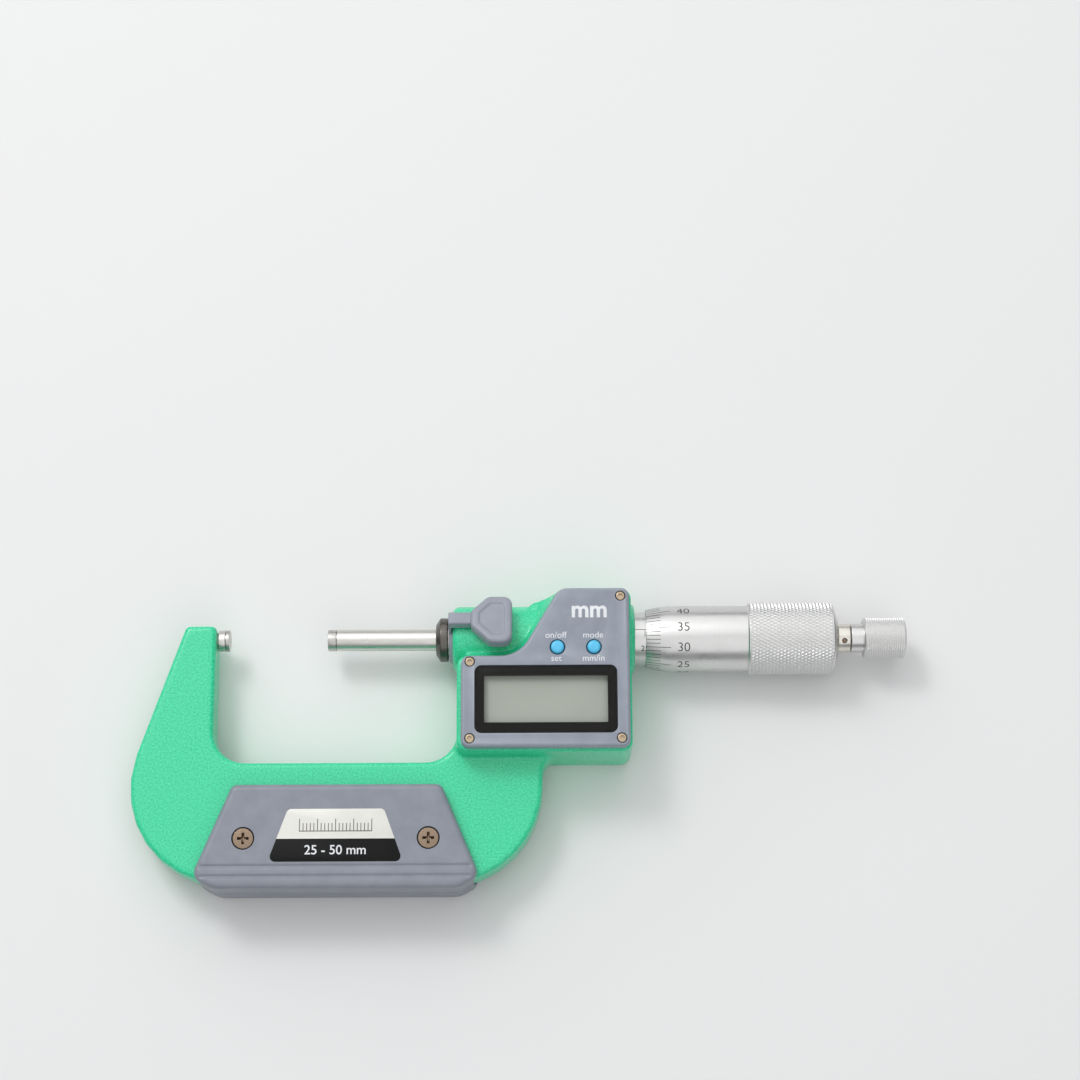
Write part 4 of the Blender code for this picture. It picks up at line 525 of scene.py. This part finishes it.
white_foil = finish("white_label_foil", "moulded_plastic", 3000, ((222, 221, 214), (231, 230, 224)),
                    (0.30, 0.40), 0.003, coat=0.1)
black_foil = finish("black_label_foil", "moulded_plastic", 3000, ((16, 16, 17), (22, 22, 23)),
                    (0.40, 0.50), 0.003)
black_foil.node_tree.nodes["Principled BSDF"].inputs["Specular IOR Level"].default_value = 0.15
white_ink = finish("white_ink", "moulded_plastic", 6000, ((224, 226, 230), (238, 240, 243)),
                   (0.45, 0.55), 0.002)
black_ink = finish("black_ink", "moulded_plastic", 6000, ((22, 22, 24), (34, 34, 36)), (0.45, 0.55),
                   0.002)

label = raised(drawn("two_tone_label", LABEL, plan(LABEL_LOW)), LABEL_HIGH - LABEL_LOW)
eased(label, LABEL_HIGH, 0.05, 2)
choose(label, "FACE", everything)
bpy.ops.mesh.bisect(plane_co=(0, LABEL_SPLIT * MM, 0), plane_no=(0, 1, 0))
rest()
smoothed(label)
dressed(label, white_foil)
label.data.materials.append(black_foil)
for face in label.data.polygons:
    face.material_index = int(face.center.y < LABEL_SPLIT * MM)
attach(label, "frame_body")
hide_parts("range_label")


def lettered(name, words, size, bold=0.0):
    """Words as a thin mesh about the origin, their type `size` mm high, bolder by `bold` mm."""
    rest()
    bpy.ops.object.text_add()
    piece = bpy.context.object
    piece.name = name
    text = piece.data
    text.body = words
    text.size = size * MM
    text.align_x = "CENTER"
    text.align_y = "CENTER"
    text.extrude = INK * MM
    text.offset = bold * MM
    bpy.ops.object.convert(target="MESH")
    piece = bpy.context.object
    piece.data.name = name
    choose(piece, "VERT", everything)
    bpy.ops.mesh.remove_doubles(threshold=1e-7)
    rest()
    return piece


def printed(piece, x, y, height, ink, body):
    """Prints a flat mesh on a face at a height."""
    piece.data.transform(Matrix.Translation(Vector((x, y, height)) * MM))
    dressed(piece, ink)
    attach(piece, body)


printed(lettered("range_lettering", "25 - 50 mm", 3.3, 0.03), PLATE_MIDDLE, -55.8, LABEL_HIGH,
        white_ink, "frame_body")
scale_marks = []
for step in range(-SCALE_SIDE, SCALE_SIDE + 1):
    length = 3.0 if step % 5 == 0 else 1.9
    at = PLATE_MIDDLE + step * SCALE_PITCH
    mark = rectangle(at - SCALE_LINE, SCALE_FOOT, at + SCALE_LINE, SCALE_FOOT + length)
    scale_marks.append(raised(drawn("scale_mark", mark, plan(LABEL_HIGH - INK)), 2 * INK))
reach = SCALE_SIDE * SCALE_PITCH + SCALE_LINE
foot = rectangle(PLATE_MIDDLE - reach, SCALE_FOOT - 0.2, PLATE_MIDDLE + reach, SCALE_FOOT)
scale_marks.append(raised(drawn("scale_foot", foot, plan(LABEL_HIGH - INK)), 2 * INK))
scale_print = joined(scale_marks[0], *scale_marks[1:])
scale_print.name = scale_print.data.name = "label_scale"
printed(scale_print, 0, 0, 0, black_ink, "frame_body")

# ---------------------------------------------------------------------------------------------------
# Seal nut: a burnished collar screwed into the left end of the barrel. It holds the felt seal and the
# bush that the spindle slides in.

SEAL_NUT = [(53.2, 3.05, 0.1), (53.2, 4.0, 0.3), (54.3, 5.65, 0.35), (56.1, 5.65, 0.15), (56.3, 5.4, 0),
            (56.3, 4.3, 0), (54.0, 4.3, 0), (54.0, 3.05, 0)]

dark_steel = finish("burnished_steel", "lathe_rings", 4000, ((84, 80, 77), (120, 116, 112)),
                    (0.24, 0.34), 0.006, metal=0.9)
black_rubber = finish("black_rubber", "moulded_plastic", 5000, ((20, 20, 21), (30, 30, 31)),
                      (0.6, 0.75), 0.01)


def kept(material, *names):
    """Gives CAD pieces that keep their shape a finish."""
    for name in names:
        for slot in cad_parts[name].material_slots:
            slot.material = material


nut = turned("burnished_seal_nut", SEAL_NUT, 72)
smoothed(nut)
dressed(nut, dark_steel)
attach(nut, "frame_body")
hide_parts("seal_nut")
kept(black_rubber, "spindle_seal")
kept(ground_steel, "spindle_bush")

# ---------------------------------------------------------------------------------------------------
# Lock lever: a grey moulding that turns about the bush. A ring behind the seal nut carries a stem over
# the barrel to a finger pad with a dished face and soft edges.

LEVER_ANGLE = math.radians(16)
LEVER_LEFT = 56.6
LEVER_RING = [(LEVER_LEFT, 5.2, 0), (60.9, 5.2, 0), (60.9, 6.4, 0.2), (57.3, 6.4, 0), (57.3, 6.2, 0),
              (LEVER_LEFT, 5.9, 0.1)]
LEVER_PAD = [(67.2, -8.0, 2.4), (72.9, -8.0, 2.4), (72.9, 5.4, 2.4), (66.6, 5.4, 2.4), (62.4, 1.2, 1.2),
             (62.4, -3.2, 1.2)]
PAD_DISH = [(67.9, -5.9, 0.6), (70.9, -5.9, 1.0), (70.9, 3.3, 1.0), (67.3, 3.3, 0.6), (64.4, 0.4, 0.6),
            (64.4, -2.4, 0.6)]
PAD_LOW = 10.2
PAD_FACE = 13.4
PAD_EDGE = 0.9
DISH_DEPTH = 0.35
STEM_TOP = 11.6
STEM_LOW = 9.0
STEM_HALF = 1.75
STEM_RIGHT = 64.8
STEM_EDGE = 0.45
ARM_RIGHT = 57.3
ARM_LOW = 5.4
ARM_TOP = 11.0
LEVER_GRAIN = 0.16

pad = raised(drawn("lever_with_pad", LEVER_PAD, plan(PAD_LOW)), PAD_FACE - PAD_LOW)
eased(pad, PAD_FACE, PAD_EDGE, 5)
cut(pad, raised(drawn("finger_dish", PAD_DISH, plan(PAD_FACE - DISH_DEPTH)), 1.0))
stem = drawn("lever_stem", rectangle(LEVER_LEFT, -STEM_HALF, STEM_RIGHT, STEM_HALF), plan(STEM_LOW))
raised(stem, STEM_TOP - STEM_LOW)
eased(stem, STEM_TOP, STEM_EDGE, 3)
arm = drawn("lever_arm", rectangle(LEVER_LEFT, -STEM_HALF, ARM_RIGHT, STEM_HALF), plan(ARM_LOW))
raised(arm, ARM_TOP - ARM_LOW)
ring = turned("lever_ring", LEVER_RING, 64)
joined(pad, stem, arm, ring)
shaped(pad, "REMESH", mode="VOXEL", voxel_size=LEVER_GRAIN * MM)
shaped(pad, "SMOOTH", factor=0.5, iterations=9)
pad.data.transform(Matrix.Rotation(-LEVER_ANGLE, 4, "X"))
smoothed(pad, 60)
lever_plastic = finish("lever_plastic", "moulded_plastic", 4500, ((146, 150, 162), (154, 158, 170)),
                       (0.30, 0.40), 0.006)
dressed(pad, lever_plastic)
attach(pad, "lever_body")
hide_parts("lock_lever")

# ---------------------------------------------------------------------------------------------------
# Electronics: a printed board with the screen on it, a rubber mat below the buttons, a gasket under the
# cover, and the battery with its contact. They keep their plain shapes; only the screen's face shows.

circuit = finish("circuit_board", "hammered_spray", 600, ((16, 62, 36), (28, 84, 50)), (0.35, 0.5),
                 0.004)
brass = finish("spring_brass", "lathe_rings", 5000, ((176, 138, 72), (204, 168, 98)), (0.25, 0.35),
               0.003, metal=1.0)
cell_steel = finish("cell_steel", "lathe_rings", 3000, ((176, 176, 174), (200, 200, 198)), (0.25, 0.35),
                    0.003, metal=1.0)
screen = finish("lcd_glass", "moulded_plastic", 900, ((197, 203, 191), (205, 211, 199)), (0.30, 0.36),
                0.001)
kept(circuit, "circuit_board", "encoder_stator")
kept(brass, "battery_contact", "encoder_rotor")
kept(cell_steel, "battery")
kept(black_rubber, "button_membrane", "cover_gasket", "battery_seal")
kept(screen, "lcd_panel")

# ---------------------------------------------------------------------------------------------------
# Battery cap: a dark moulded plug in the back of the housing, turned with a coin.

CAP = [(-9.1, 7.0, 0.35), (-7.6, 7.0), (-7.6, 5.9), (-5.8, 5.9)]
COIN_HALF_LENGTH = 4.6
COIN_HALF_WIDTH = 0.75
COIN_FLOOR = -8.35
cap_plastic = finish("cap_plastic", "moulded_plastic", 4500, ((44, 46, 50), (56, 58, 62)), (0.36, 0.46),
                     0.01)
cap = upright("coin_slot_cap", BATTERY, CAP, 72)
x, y = BATTERY
coin = rectangle(x - COIN_HALF_LENGTH, y - COIN_HALF_WIDTH,
                 x + COIN_HALF_LENGTH, y + COIN_HALF_WIDTH, 0.7)
cut(cap, raised(drawn("coin", coin, plan(COIN_FLOOR - 1.25)), 1.25))
smoothed(cap)
dressed(cap, cap_plastic)
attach(cap, "frame_body")
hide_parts("battery_cap")

# ---------------------------------------------------------------------------------------------------
# Display cover: a grey moulding with a slanted left edge, rounded all round its face. It carries the
# window, two button holes and four screw pockets, and has its names printed in white.

COVER = [(60.0, -30.9, 2.0), (102.5, -30.9, 2.0), (102.5, 10.1, 2.0), (84.8, 10.1, 3.6),
         (74.5, -7.4, 8.2), (60.0, -7.4, 2.0)]
COVER_BACK = 12.2
COVER_FACE = 14.4
COVER_EDGE = 0.9
BUTTON_HOLE = [(11.0, 2.0), (16.0, 2.0)]
SCREW_POCKET = [(13.1, 1.34), (16.0, 1.34)]
WINDOW_EDGES = (63.5, -27.3, 99.2, -10.1)
WINDOW_CORNER = 1.7
WINDOW_BACK = 13.0
WINDOW_FACE = 14.2
WINDOW_GAP = 0.12
WINDOW_LEDGE = 0.55
BUTTONS = {"on_off": (84.3, -5.4), "mode": (93.5, -5.4)}
COVER_SCREWS = [(62.2, -9.05), (62.2, -28.7), (100.3, -28.7), (100.3, 7.9)]

cover = raised(drawn("printed_cover", COVER, plan(COVER_BACK)), COVER_FACE - COVER_BACK)
eased(cover, COVER_FACE, COVER_EDGE, 6)
left, bottom, right, top = WINDOW_EDGES
opening = rectangle(left - WINDOW_GAP, bottom - WINDOW_GAP, right + WINDOW_GAP, top + WINDOW_GAP,
                    WINDOW_CORNER + WINDOW_GAP)
ledge = rectangle(left + WINDOW_LEDGE, bottom + WINDOW_LEDGE, right - WINDOW_LEDGE, top - WINDOW_LEDGE,
                  WINDOW_CORNER - WINDOW_LEDGE)
cut(cover, raised(drawn("window_opening", opening, plan(WINDOW_BACK - 0.1)), 3.0))
cut(cover, raised(drawn("window_ledge", ledge, plan(COVER_BACK - 1)), 3.0))
for spot in BUTTONS.values():
    cut(cover, upright("button_hole", spot, BUTTON_HOLE, 64))
for spot in COVER_SCREWS:
    cut(cover, upright("screw_pocket", spot, SCREW_POCKET, 40))
shaped(cover, "BEVEL", width=0.1 * MM, segments=2, limit_method="ANGLE", angle_limit=math.radians(60))
smoothed(cover, 35)
cover_plastic = finish("cover_plastic", "moulded_plastic", 4500, ((143, 150, 162), (152, 159, 171)),
                       (0.34, 0.44), 0.006)
dressed(cover, cover_plastic)
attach(cover, "frame_body")
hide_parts("display_cover")

for name, words, size, x, y in (("on_off_name", "on/off", 2.25, 83.9, -2.35),
                                ("set_name", "set", 2.25, 84.0, -8.35),
                                ("mode_name", "mode", 2.25, 93.3, -2.35),
                                ("unit_name", "mm/in", 2.25, 93.4, -8.35)):
    printed(lettered(name, words, size), x, y, COVER_FACE, white_ink, "frame_body")
printed(lettered("unit_mark", "mm", 6.0, 0.16), 92.4, 4.2, COVER_FACE, white_ink, "frame_body")

# ---------------------------------------------------------------------------------------------------
# Window: a clear pane, printed black on its back all round the screen.

SCREEN_EDGES = (65.8, -24.6, 96.9, -12.5)
PANE = 0.25
PANE_GAP = 0.02

sheet = rectangle(left, bottom, right, top, WINDOW_CORNER)
border = drawn("window_border", sheet, plan(WINDOW_BACK))
raised(border, WINDOW_FACE - PANE - PANE_GAP - WINDOW_BACK)
view = rectangle(*SCREEN_EDGES, 0.15)
cut(border, raised(drawn("border_opening", view, plan(WINDOW_BACK - 1)), 3.0))
smoothed(border)
border_print = finish("window_border_print", "moulded_plastic", 3000, ((14, 14, 13), (20, 20, 18)),
                      (0.40, 0.50), 0.002)
border_print.node_tree.nodes["Principled BSDF"].inputs["Specular IOR Level"].default_value = 0.1
dressed(border, border_print)
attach(border, "frame_body")
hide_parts("display_window")
pane = raised(drawn("clear_pane", sheet, plan(WINDOW_FACE - PANE)), PANE)
eased(pane, WINDOW_FACE, 0.08, 2)
smoothed(pane)
clear = finish("clear_pane_plastic", "moulded_plastic", 2000, ((60, 60, 58), (66, 66, 64)),
               (0.06, 0.10), 0.0005)
pane_shader = clear.node_tree.nodes["Principled BSDF"]
pane_shader.inputs["Alpha"].default_value = 0.10
pane_shader.inputs["Specular IOR Level"].default_value = 0.2
dressed(pane, clear)
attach(pane, "frame_body")

# ---------------------------------------------------------------------------------------------------
# Buttons: two domed keys of glossy blue plastic, held by a flange below the cover.

KEY = [(11.4, 2.5), (12.0, 2.5), (12.0, 1.68), (14.98, 1.68, 0.62), (15.1, 0.7, 2.0)]
blue_plastic = finish("blue_key_plastic", "moulded_plastic", 4000, ((84, 194, 238), (98, 204, 246)),
                      (0.26, 0.34), 0.004)
for name, spot in BUTTONS.items():
    key = upright(f"{name}_key", spot, KEY, 64)
    smoothed(key, 40)
    dressed(key, blue_plastic)
    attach(key, f"{name}_button_body")
    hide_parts(f"{name}_button")

# ---------------------------------------------------------------------------------------------------
# Cover screws: four small socket screws with a hexagon, bronzed, sunk in pockets of the cover.

COVER_SCREW = [(6.0, 0.6), (13.3, 0.6), (13.3, 1.15), (14.3, 1.15, 0.22)]
HEXAGON_RADIUS = 0.66
HEXAGON_FLOOR = 13.55

socket_screw = upright("socket_screw", COVER_SCREWS[0], COVER_SCREW, 40)
x, y = COVER_SCREWS[0]
hexagon = [(x + HEXAGON_RADIUS * math.cos(math.tau * side / 6),
            y + HEXAGON_RADIUS * math.sin(math.tau * side / 6), 0) for side in range(6)]
cut(socket_screw, raised(drawn("hexagon_key", hexagon, plan(HEXAGON_FLOOR)), 1.0))
smoothed(socket_screw, 35)
bright_bronze = finish("bright_bronzed_steel", "lathe_rings", 6000, ((152, 134, 112), (206, 188, 162)),
                       (0.2, 0.3), 0.004, metal=1.0)
dressed(socket_screw, bright_bronze)
for number, spot in enumerate(COVER_SCREWS, 1):
    shift = Matrix.Translation(((spot[0] - x) * MM, (spot[1] - y) * MM, 0))
    screw = copied(socket_screw, f"bronzed_cover_screw_{number}", shift)
    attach(screw, "frame_body")
    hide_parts(f"cover_screw_{number}")
bpy.data.objects.remove(socket_screw)

# ---------------------------------------------------------------------------------------------------
# Graduated sleeve: a satin chromed tube on the inner sleeve. A datum line runs along it, with a mark
# for each millimetre below the line and each half above, filled in black.

SLEEVE_RADIUS = 6.84
SLEEVE = [(101.5, 6.29, 0), (136.8, 6.29, 0), (136.8, SLEEVE_RADIUS, 0.1), (101.5, SLEEVE_RADIUS, 0)]
FIRST_MARK = 106.75
DATUM_LEFT, DATUM_RIGHT = 101.6, 132.6
NUMBERS_BELOW = 5.0
LINE = 0.14
DATUM_ANGLE = -math.radians(7.6)

satin_chrome = finish("satin_chrome", "lathe_rings", 7000, ((204, 204, 203), (224, 224, 222)),
                      (0.27, 0.35), 0.003, metal=1.0)
graved_black = finish("graved_black", "moulded_plastic", 6000, ((26, 26, 28), (40, 40, 42)),
                      (0.5, 0.6), 0.002)

sleeve = turned("satin_graduated_sleeve", SLEEVE)
smoothed(sleeve)
dressed(sleeve, satin_chrome)
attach(sleeve, "frame_body")
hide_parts("graduated_sleeve")
kept(ground_steel, "inner_sleeve", "adjusting_nut")


def graved(corners, angle, sweep, steps=1):
    """A filled line: its section swept about the measuring axis, from an angle down from the top."""
    mark = drawn("mark", [corner + (0,) for corner in corners], section)
    mark.data.transform(Matrix.Rotation(angle, 4, "X"))
    choose(mark, "FACE", everything)
    bpy.ops.mesh.spin(steps=steps, angle=-sweep, center=(0, 0, 0), axis=(1, 0, 0))
    bpy.ops.mesh.select_all(action="SELECT")
    bpy.ops.mesh.normals_make_consistent(inside=False)
    return mark


def skin(left, right, radius):
    """A thin section just proud of a cylinder."""
    return [(left, radius - INK), (right, radius - INK), (right, radius + INK), (left, radius + INK)]


def wrapped(piece, x, angle, radius):
    """Lays a flat mesh round a cylinder, centred at an angle measured down from the top."""
    choose(piece, "FACE", everything)
    bpy.ops.mesh.quads_convert_to_tris()
    bpy.ops.mesh.subdivide(number_cuts=2)
    rest()
    for vertex in piece.data.vertices:
        across, rise, out = vertex.co
        turn = angle - rise / (radius * MM)
        distance = radius * MM + out
        vertex.co = (x * MM + across, -distance * math.sin(turn), distance * math.cos(turn))


line_angle = LINE / SLEEVE_RADIUS
marks = [graved(skin(DATUM_LEFT, DATUM_RIGHT, SLEEVE_RADIUS), DATUM_ANGLE - line_angle / 2,
                line_angle)]
for reading in range(51):
    at = FIRST_MARK + reading / 2
    whole = reading % 2 == 0
    length = 1.9 if reading % 10 == 0 else 1.35 if whole else 1.1
    start, sweep = (0, length) if whole else (-length, length)
    marks.append(graved(skin(at - LINE / 2, at + LINE / 2, SLEEVE_RADIUS),
                        DATUM_ANGLE + start / SLEEVE_RADIUS, sweep / SLEEVE_RADIUS, 3))
for reading in range(25, 51, 5):
    number = lettered("sleeve_number", str(reading), 2.1)
    wrapped(number, FIRST_MARK + reading - 25, DATUM_ANGLE + NUMBERS_BELOW / SLEEVE_RADIUS,
            SLEEVE_RADIUS)
    marks.append(number)
rest()
sleeve_scale = joined(marks[0], *marks[1:])
sleeve_scale.name = sleeve_scale.data.name = "sleeve_graduation"
dressed(sleeve_scale, graved_black)
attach(sleeve_scale, "frame_body")

# ---------------------------------------------------------------------------------------------------
# Spindle: a ground bar with a thread in its middle and a carbide disc on its face. The thimble and the
# ratchet are clamped to its right end.

SPINDLE = [(27.55, 0, 0), (27.55, 2.75, 0.1), (104.35, 2.75, 0), (104.35, 3.25, 0), (138.6, 3.25, 0),
           (138.6, 3.0, 0), (156.0, 3.0, 0), (156.0, 2.0, 0), (158.7, 2.0, 0), (158.7, 0, 0)]
SPINDLE_TIP = [(25.35, 0, 0), (25.35, 2.75, 0.12), (27.45, 2.75, 0.05), (27.45, 0, 0)]

spindle = turned("ground_spindle", SPINDLE)
tip = turned("carbide_spindle_face", SPINDLE_TIP, 64)
for piece, material, node, slot in ((spindle, ground_steel, "spindle", "ground_steel"),
                                    (tip, carbide, "spindle_tip", "carbide")):
    smoothed(piece)
    dressed(piece, material)
    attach(piece, "spindle_body")
    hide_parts(node)

# ---------------------------------------------------------------------------------------------------
# Thimble: a satin chromed barrel over the sleeve, tapered at its edge, with fifty divisions filled in
# black and a number at every fifth. Its grip is rolled with a diamond knurl.

THIMBLE = [(107.1, 7.14, 0), (107.1, 7.5, 0.08), (112.7, 8.5, 0), (133.1, 8.5, 0), (133.4, 8.82, 0),
           (154.95, 8.82, 0), (155.45, 8.5, 0.5), (156.3, 5.8, 0.3), (156.3, 3.3, 0), (151.3, 3.3, 0),
           (151.3, 7.14, 0)]
TAPER_LEFT, TAPER_RIGHT = (107.1, 7.5), (112.7, 8.5)
DIVISIONS = 50
AT_DATUM = 35
GRIP_RADIUS = 9.1
KNURL_ROOT = 0.02
KNURL_TOP = 0.46
DIVISION_LEFT = 107.2
DIVISION_ENDS = (110.7, 113.3)
NUMBERS_AT = 116.6


def knurled(name, left, right, radius, depth, round_count, pitch):
    """The diamonds that two crossing sets of grooves leave: one, raised and copied round and along."""
    step = math.tau / round_count
    half = radius * step / 2
    base = radius - depth
    corners = [(left - pitch / 2, 0), (left, -half), (left + pitch / 2, 0), (left, half)]
    stud = drawn(name, [corner + (0,) for corner in corners], plan(base - KNURL_ROOT))
    choose(stud, "FACE", everything)
    bpy.ops.mesh.extrude_region_move(TRANSFORM_OT_translate={"value": (0, 0, (depth + KNURL_ROOT) * MM)})
    bpy.ops.transform.resize(value=(KNURL_TOP, KNURL_TOP, 1), center_override=(left * MM, 0, 0))
    bpy.ops.mesh.select_all(action="SELECT")
    bpy.ops.mesh.normals_make_consistent(inside=False)
    bpy.ops.mesh.spin(steps=round_count - 1, angle=math.tau - step, center=(0, 0, 0), axis=(1, 0, 0),
                      dupli=True)
    bpy.ops.mesh.select_all(action="SELECT")
    bpy.ops.mesh.duplicate_move(TRANSFORM_OT_translate={"value": (pitch / 2 * MM, 0, 0)})
    bpy.ops.transform.rotate(value=step / 2, orient_axis="X", center_override=(0, 0, 0))
    bpy.ops.mesh.select_all(action="SELECT")
    for _ in range(math.ceil((right - left) / pitch)):
        bpy.ops.mesh.duplicate_move(TRANSFORM_OT_translate={"value": (pitch * MM, 0, 0)})
    for place, inner in ((left, True), (right, False)):
        bpy.ops.mesh.select_all(action="SELECT")
        bpy.ops.mesh.bisect(plane_co=(place * MM, 0, 0), plane_no=(1, 0, 0), clear_inner=inner,
                            clear_outer=not inner)
    bpy.ops.mesh.select_all(action="SELECT")
    bpy.ops.mesh.fill_holes(sides=0)
    bpy.ops.mesh.normals_make_consistent(inside=False)
    rest()
    return stud


thimble = turned("satin_thimble", THIMBLE, 128)
smoothed(thimble, 20)
dressed(thimble, satin_chrome)
# The knurl is the thimble's own chrome. Its shades are set lighter than the satin chrome of the plain
# barrel, a painted sheen for the light that the rolled diamonds catch.
knurl_chrome_painted_sheen = finish("knurl_chrome_painted_sheen", "lathe_rings", 3000, ((228, 228, 227), (242, 242, 241)),
                        (0.40, 0.50), 0.002, metal=1.0)
grip = knurled("diamond_grip", 133.65, 154.75, GRIP_RADIUS, depth=0.28, round_count=62, pitch=1.78)
dressed(grip, knurl_chrome_painted_sheen)
for piece in (thimble, grip):
    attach(piece, "spindle_body")
    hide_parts("thimble")

slope = (TAPER_RIGHT[1] - TAPER_LEFT[1]) / (TAPER_RIGHT[0] - TAPER_LEFT[0])


def on_taper(x):
    """The thimble's radius at x, along its taper and past it."""
    return TAPER_LEFT[1] + slope * (min(x, TAPER_RIGHT[0]) - TAPER_LEFT[0])


division = math.tau / DIVISIONS
marks = []
for number in range(DIVISIONS):
    end = DIVISION_ENDS[number % 5 == 0]
    places = [DIVISION_LEFT, end] if end < TAPER_RIGHT[0] else [DIVISION_LEFT, TAPER_RIGHT[0], end]
    low = [(x, on_taper(x) - INK) for x in places]
    high = [(x, on_taper(x) + INK) for x in reversed(places)]
    angle = DATUM_ANGLE + (AT_DATUM - number) * division - LINE / 16
    marks.append(graved(low + high, angle, LINE / 8))
for number in range(0, DIVISIONS, 5):
    figures = lettered("thimble_number", str(number), 3.4, -0.03)
    wrapped(figures, NUMBERS_AT, DATUM_ANGLE + (AT_DATUM - number) * division, TAPER_RIGHT[1])
    marks.append(figures)
rest()
thimble_scale = joined(marks[0], *marks[1:])
thimble_scale.name = thimble_scale.data.name = "thimble_graduation"
dressed(thimble_scale, graved_black)
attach(thimble_scale, "spindle_body")

# ---------------------------------------------------------------------------------------------------
# Ratchet: a neck pinned to the spindle carries the stud, click washer and spring inside a knurled knob,
# which slips round once the measuring force is reached.

NECK = [(156.6, 2.3, 0), (159.0, 2.3, 0), (159.0, 1.3, 0), (159.7, 1.3, 0), (159.7, 3.7, 0.15),
        (156.6, 3.7, 0.15)]
PIN = [(2.35, 0.5), (3.42, 0.5, 0.12)]
PIN_HOLE = [(2.0, 0.7), (4.2, 0.7)]
PIN_AT = (158.15, 0)
PIN_TURN = Matrix.Rotation(math.radians(23), 4, "X")
KNOB = [(170.9, 0, 0), (170.9, 2.9, 0), (160.0, 2.9, 0), (160.0, 3.7, 0.12), (163.2, 3.7, 0),
        (163.2, 4.8, 0.1), (163.5, 5.0, 0), (173.4, 5.0, 0), (174.0, 4.4, 0.4), (174.3, 0, 0)]
KNOB_RADIUS = 5.2

neck = turned("pinned_neck", NECK, 72)
pin_hole = upright("pin_hole", PIN_AT, PIN_HOLE, 40)
pin_hole.data.transform(PIN_TURN)
cut(neck, pin_hole)
pin = upright("neck_pin", PIN_AT, PIN, 32)
pin.data.transform(PIN_TURN)
smoothed(pin)
dressed(pin, bronzed)
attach(pin, "spindle_body")
neck_chrome = finish("neck_chrome", "lathe_rings", 6000, ((214, 210, 200), (230, 227, 218)),
                     (0.24, 0.32), 0.003, metal=1.0)
smoothed(neck, 25)
dressed(neck, neck_chrome)
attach(neck, "spindle_body")
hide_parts("ratchet_neck")
knob = turned("ratchet_thumb_knob", KNOB, 72)
smoothed(knob)
dressed(knob, satin_chrome)
knob_knurl = knurled("knob_knurl", 163.55, 173.45, KNOB_RADIUS, depth=0.2, round_count=56,
                     pitch=1.15)
# The knob's knurl takes the same lighter chrome with its painted sheen.
dressed(knob_knurl, knurl_chrome_painted_sheen)
for piece in (knob, knob_knurl):
    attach(piece, "ratchet_body")
    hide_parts("ratchet_knob")
kept(ground_steel, "ratchet_stud", "click_washer", "ratchet_spring")

# ---------------------------------------------------------------------------------------------------
# Studio: the instrument lies on its back on a plain pale table below two wide soft lamps, with a
# smaller one from the upper left for the shadow. The camera looks down on it from the front.

FLOOR = HOUSING_BACK - 0.02
CAMERA_DISTANCE = 650.0
CAMERA_TILT = math.radians(16.0)
CAMERA_ROLL = math.radians(0.27)
CAMERA_TARGET = (80.03, 26.77, 0)
PIXELS_PER_MM = 3.874
IMAGE_WIDTH = 1080
SENSOR_WIDTH = 36
TABLE_SIZE = 6
MIDDLE = (0.08, -0.02, 0)

rest()
bpy.ops.mesh.primitive_grid_add(x_subdivisions=2, y_subdivisions=2, size=TABLE_SIZE)
table = bpy.context.object
table.name = "table"
table.data.transform(Matrix.Translation((MIDDLE[0], 0, FLOOR * MM)))
paper = bpy.data.materials.new("pale_table")
paper.use_nodes = True
nodes, links = paper.node_tree.nodes, paper.node_tree.links
nodes["Principled BSDF"].inputs["Base Color"].default_value = tone(236, 236, 236)
nodes["Principled BSDF"].inputs["Roughness"].default_value = 0.9
nodes["Principled BSDF"].inputs["Specular IOR Level"].default_value = 0.1
dressed(table, paper)


def lamp(name, spot, size, watts):
    """A square soft light that faces the middle of the instrument."""
    light = bpy.data.lights.new(name, "AREA")
    light.size = size
    light.energy = watts
    holder = bpy.data.objects.new(name, light)
    bpy.context.scene.collection.objects.link(holder)
    holder.location = spot
    aim = Vector(MIDDLE) - Vector(spot)
    holder.rotation_mode = "QUATERNION"
    holder.rotation_quaternion = aim.to_track_quat("-Z", "Y")


lamp("wide_back_light", (-0.25, 0.85, 1.2), 2.4, 17.5)
lamp("wide_front_light", (0.35, -0.75, 1.25), 1.6, 6.5)
lamp("key_light", (-0.45, 0.7, 1.1), 0.4, 5)

world = bpy.data.worlds.new("studio")
bpy.context.scene.world = world
world.use_nodes = True
nodes, links = world.node_tree.nodes, world.node_tree.links
ambient = nodes["Background"]
ambient.inputs["Color"].default_value = (0.96, 0.98, 1.0, 1)
ambient.inputs["Strength"].default_value = 0.28

camera = bpy.data.objects.new("camera", bpy.data.cameras.new("camera"))
bpy.context.scene.collection.objects.link(camera)
bpy.context.scene.camera = camera
back = Vector((0, -math.sin(CAMERA_TILT), math.cos(CAMERA_TILT)))
level = Vector((1, 0, 0))
rise = Vector((0, math.cos(CAMERA_TILT), math.sin(CAMERA_TILT)))
right = level * math.cos(CAMERA_ROLL) - rise * math.sin(CAMERA_ROLL)
up = level * math.sin(CAMERA_ROLL) + rise * math.cos(CAMERA_ROLL)
pose = Matrix((right, up, back)).transposed().to_4x4()
pose.translation = (Vector(CAMERA_TARGET) + back * CAMERA_DISTANCE) * MM
camera.matrix_world = pose
focal_pixels = PIXELS_PER_MM * (CAMERA_DISTANCE - CAMERA_TARGET[1] * math.sin(CAMERA_TILT))
camera.data.sensor_width = SENSOR_WIDTH
camera.data.lens = SENSOR_WIDTH * focal_pixels / IMAGE_WIDTH
camera.data.clip_start = 0.01
bpy.context.scene.view_settings.view_transform = "Standard"

rest()
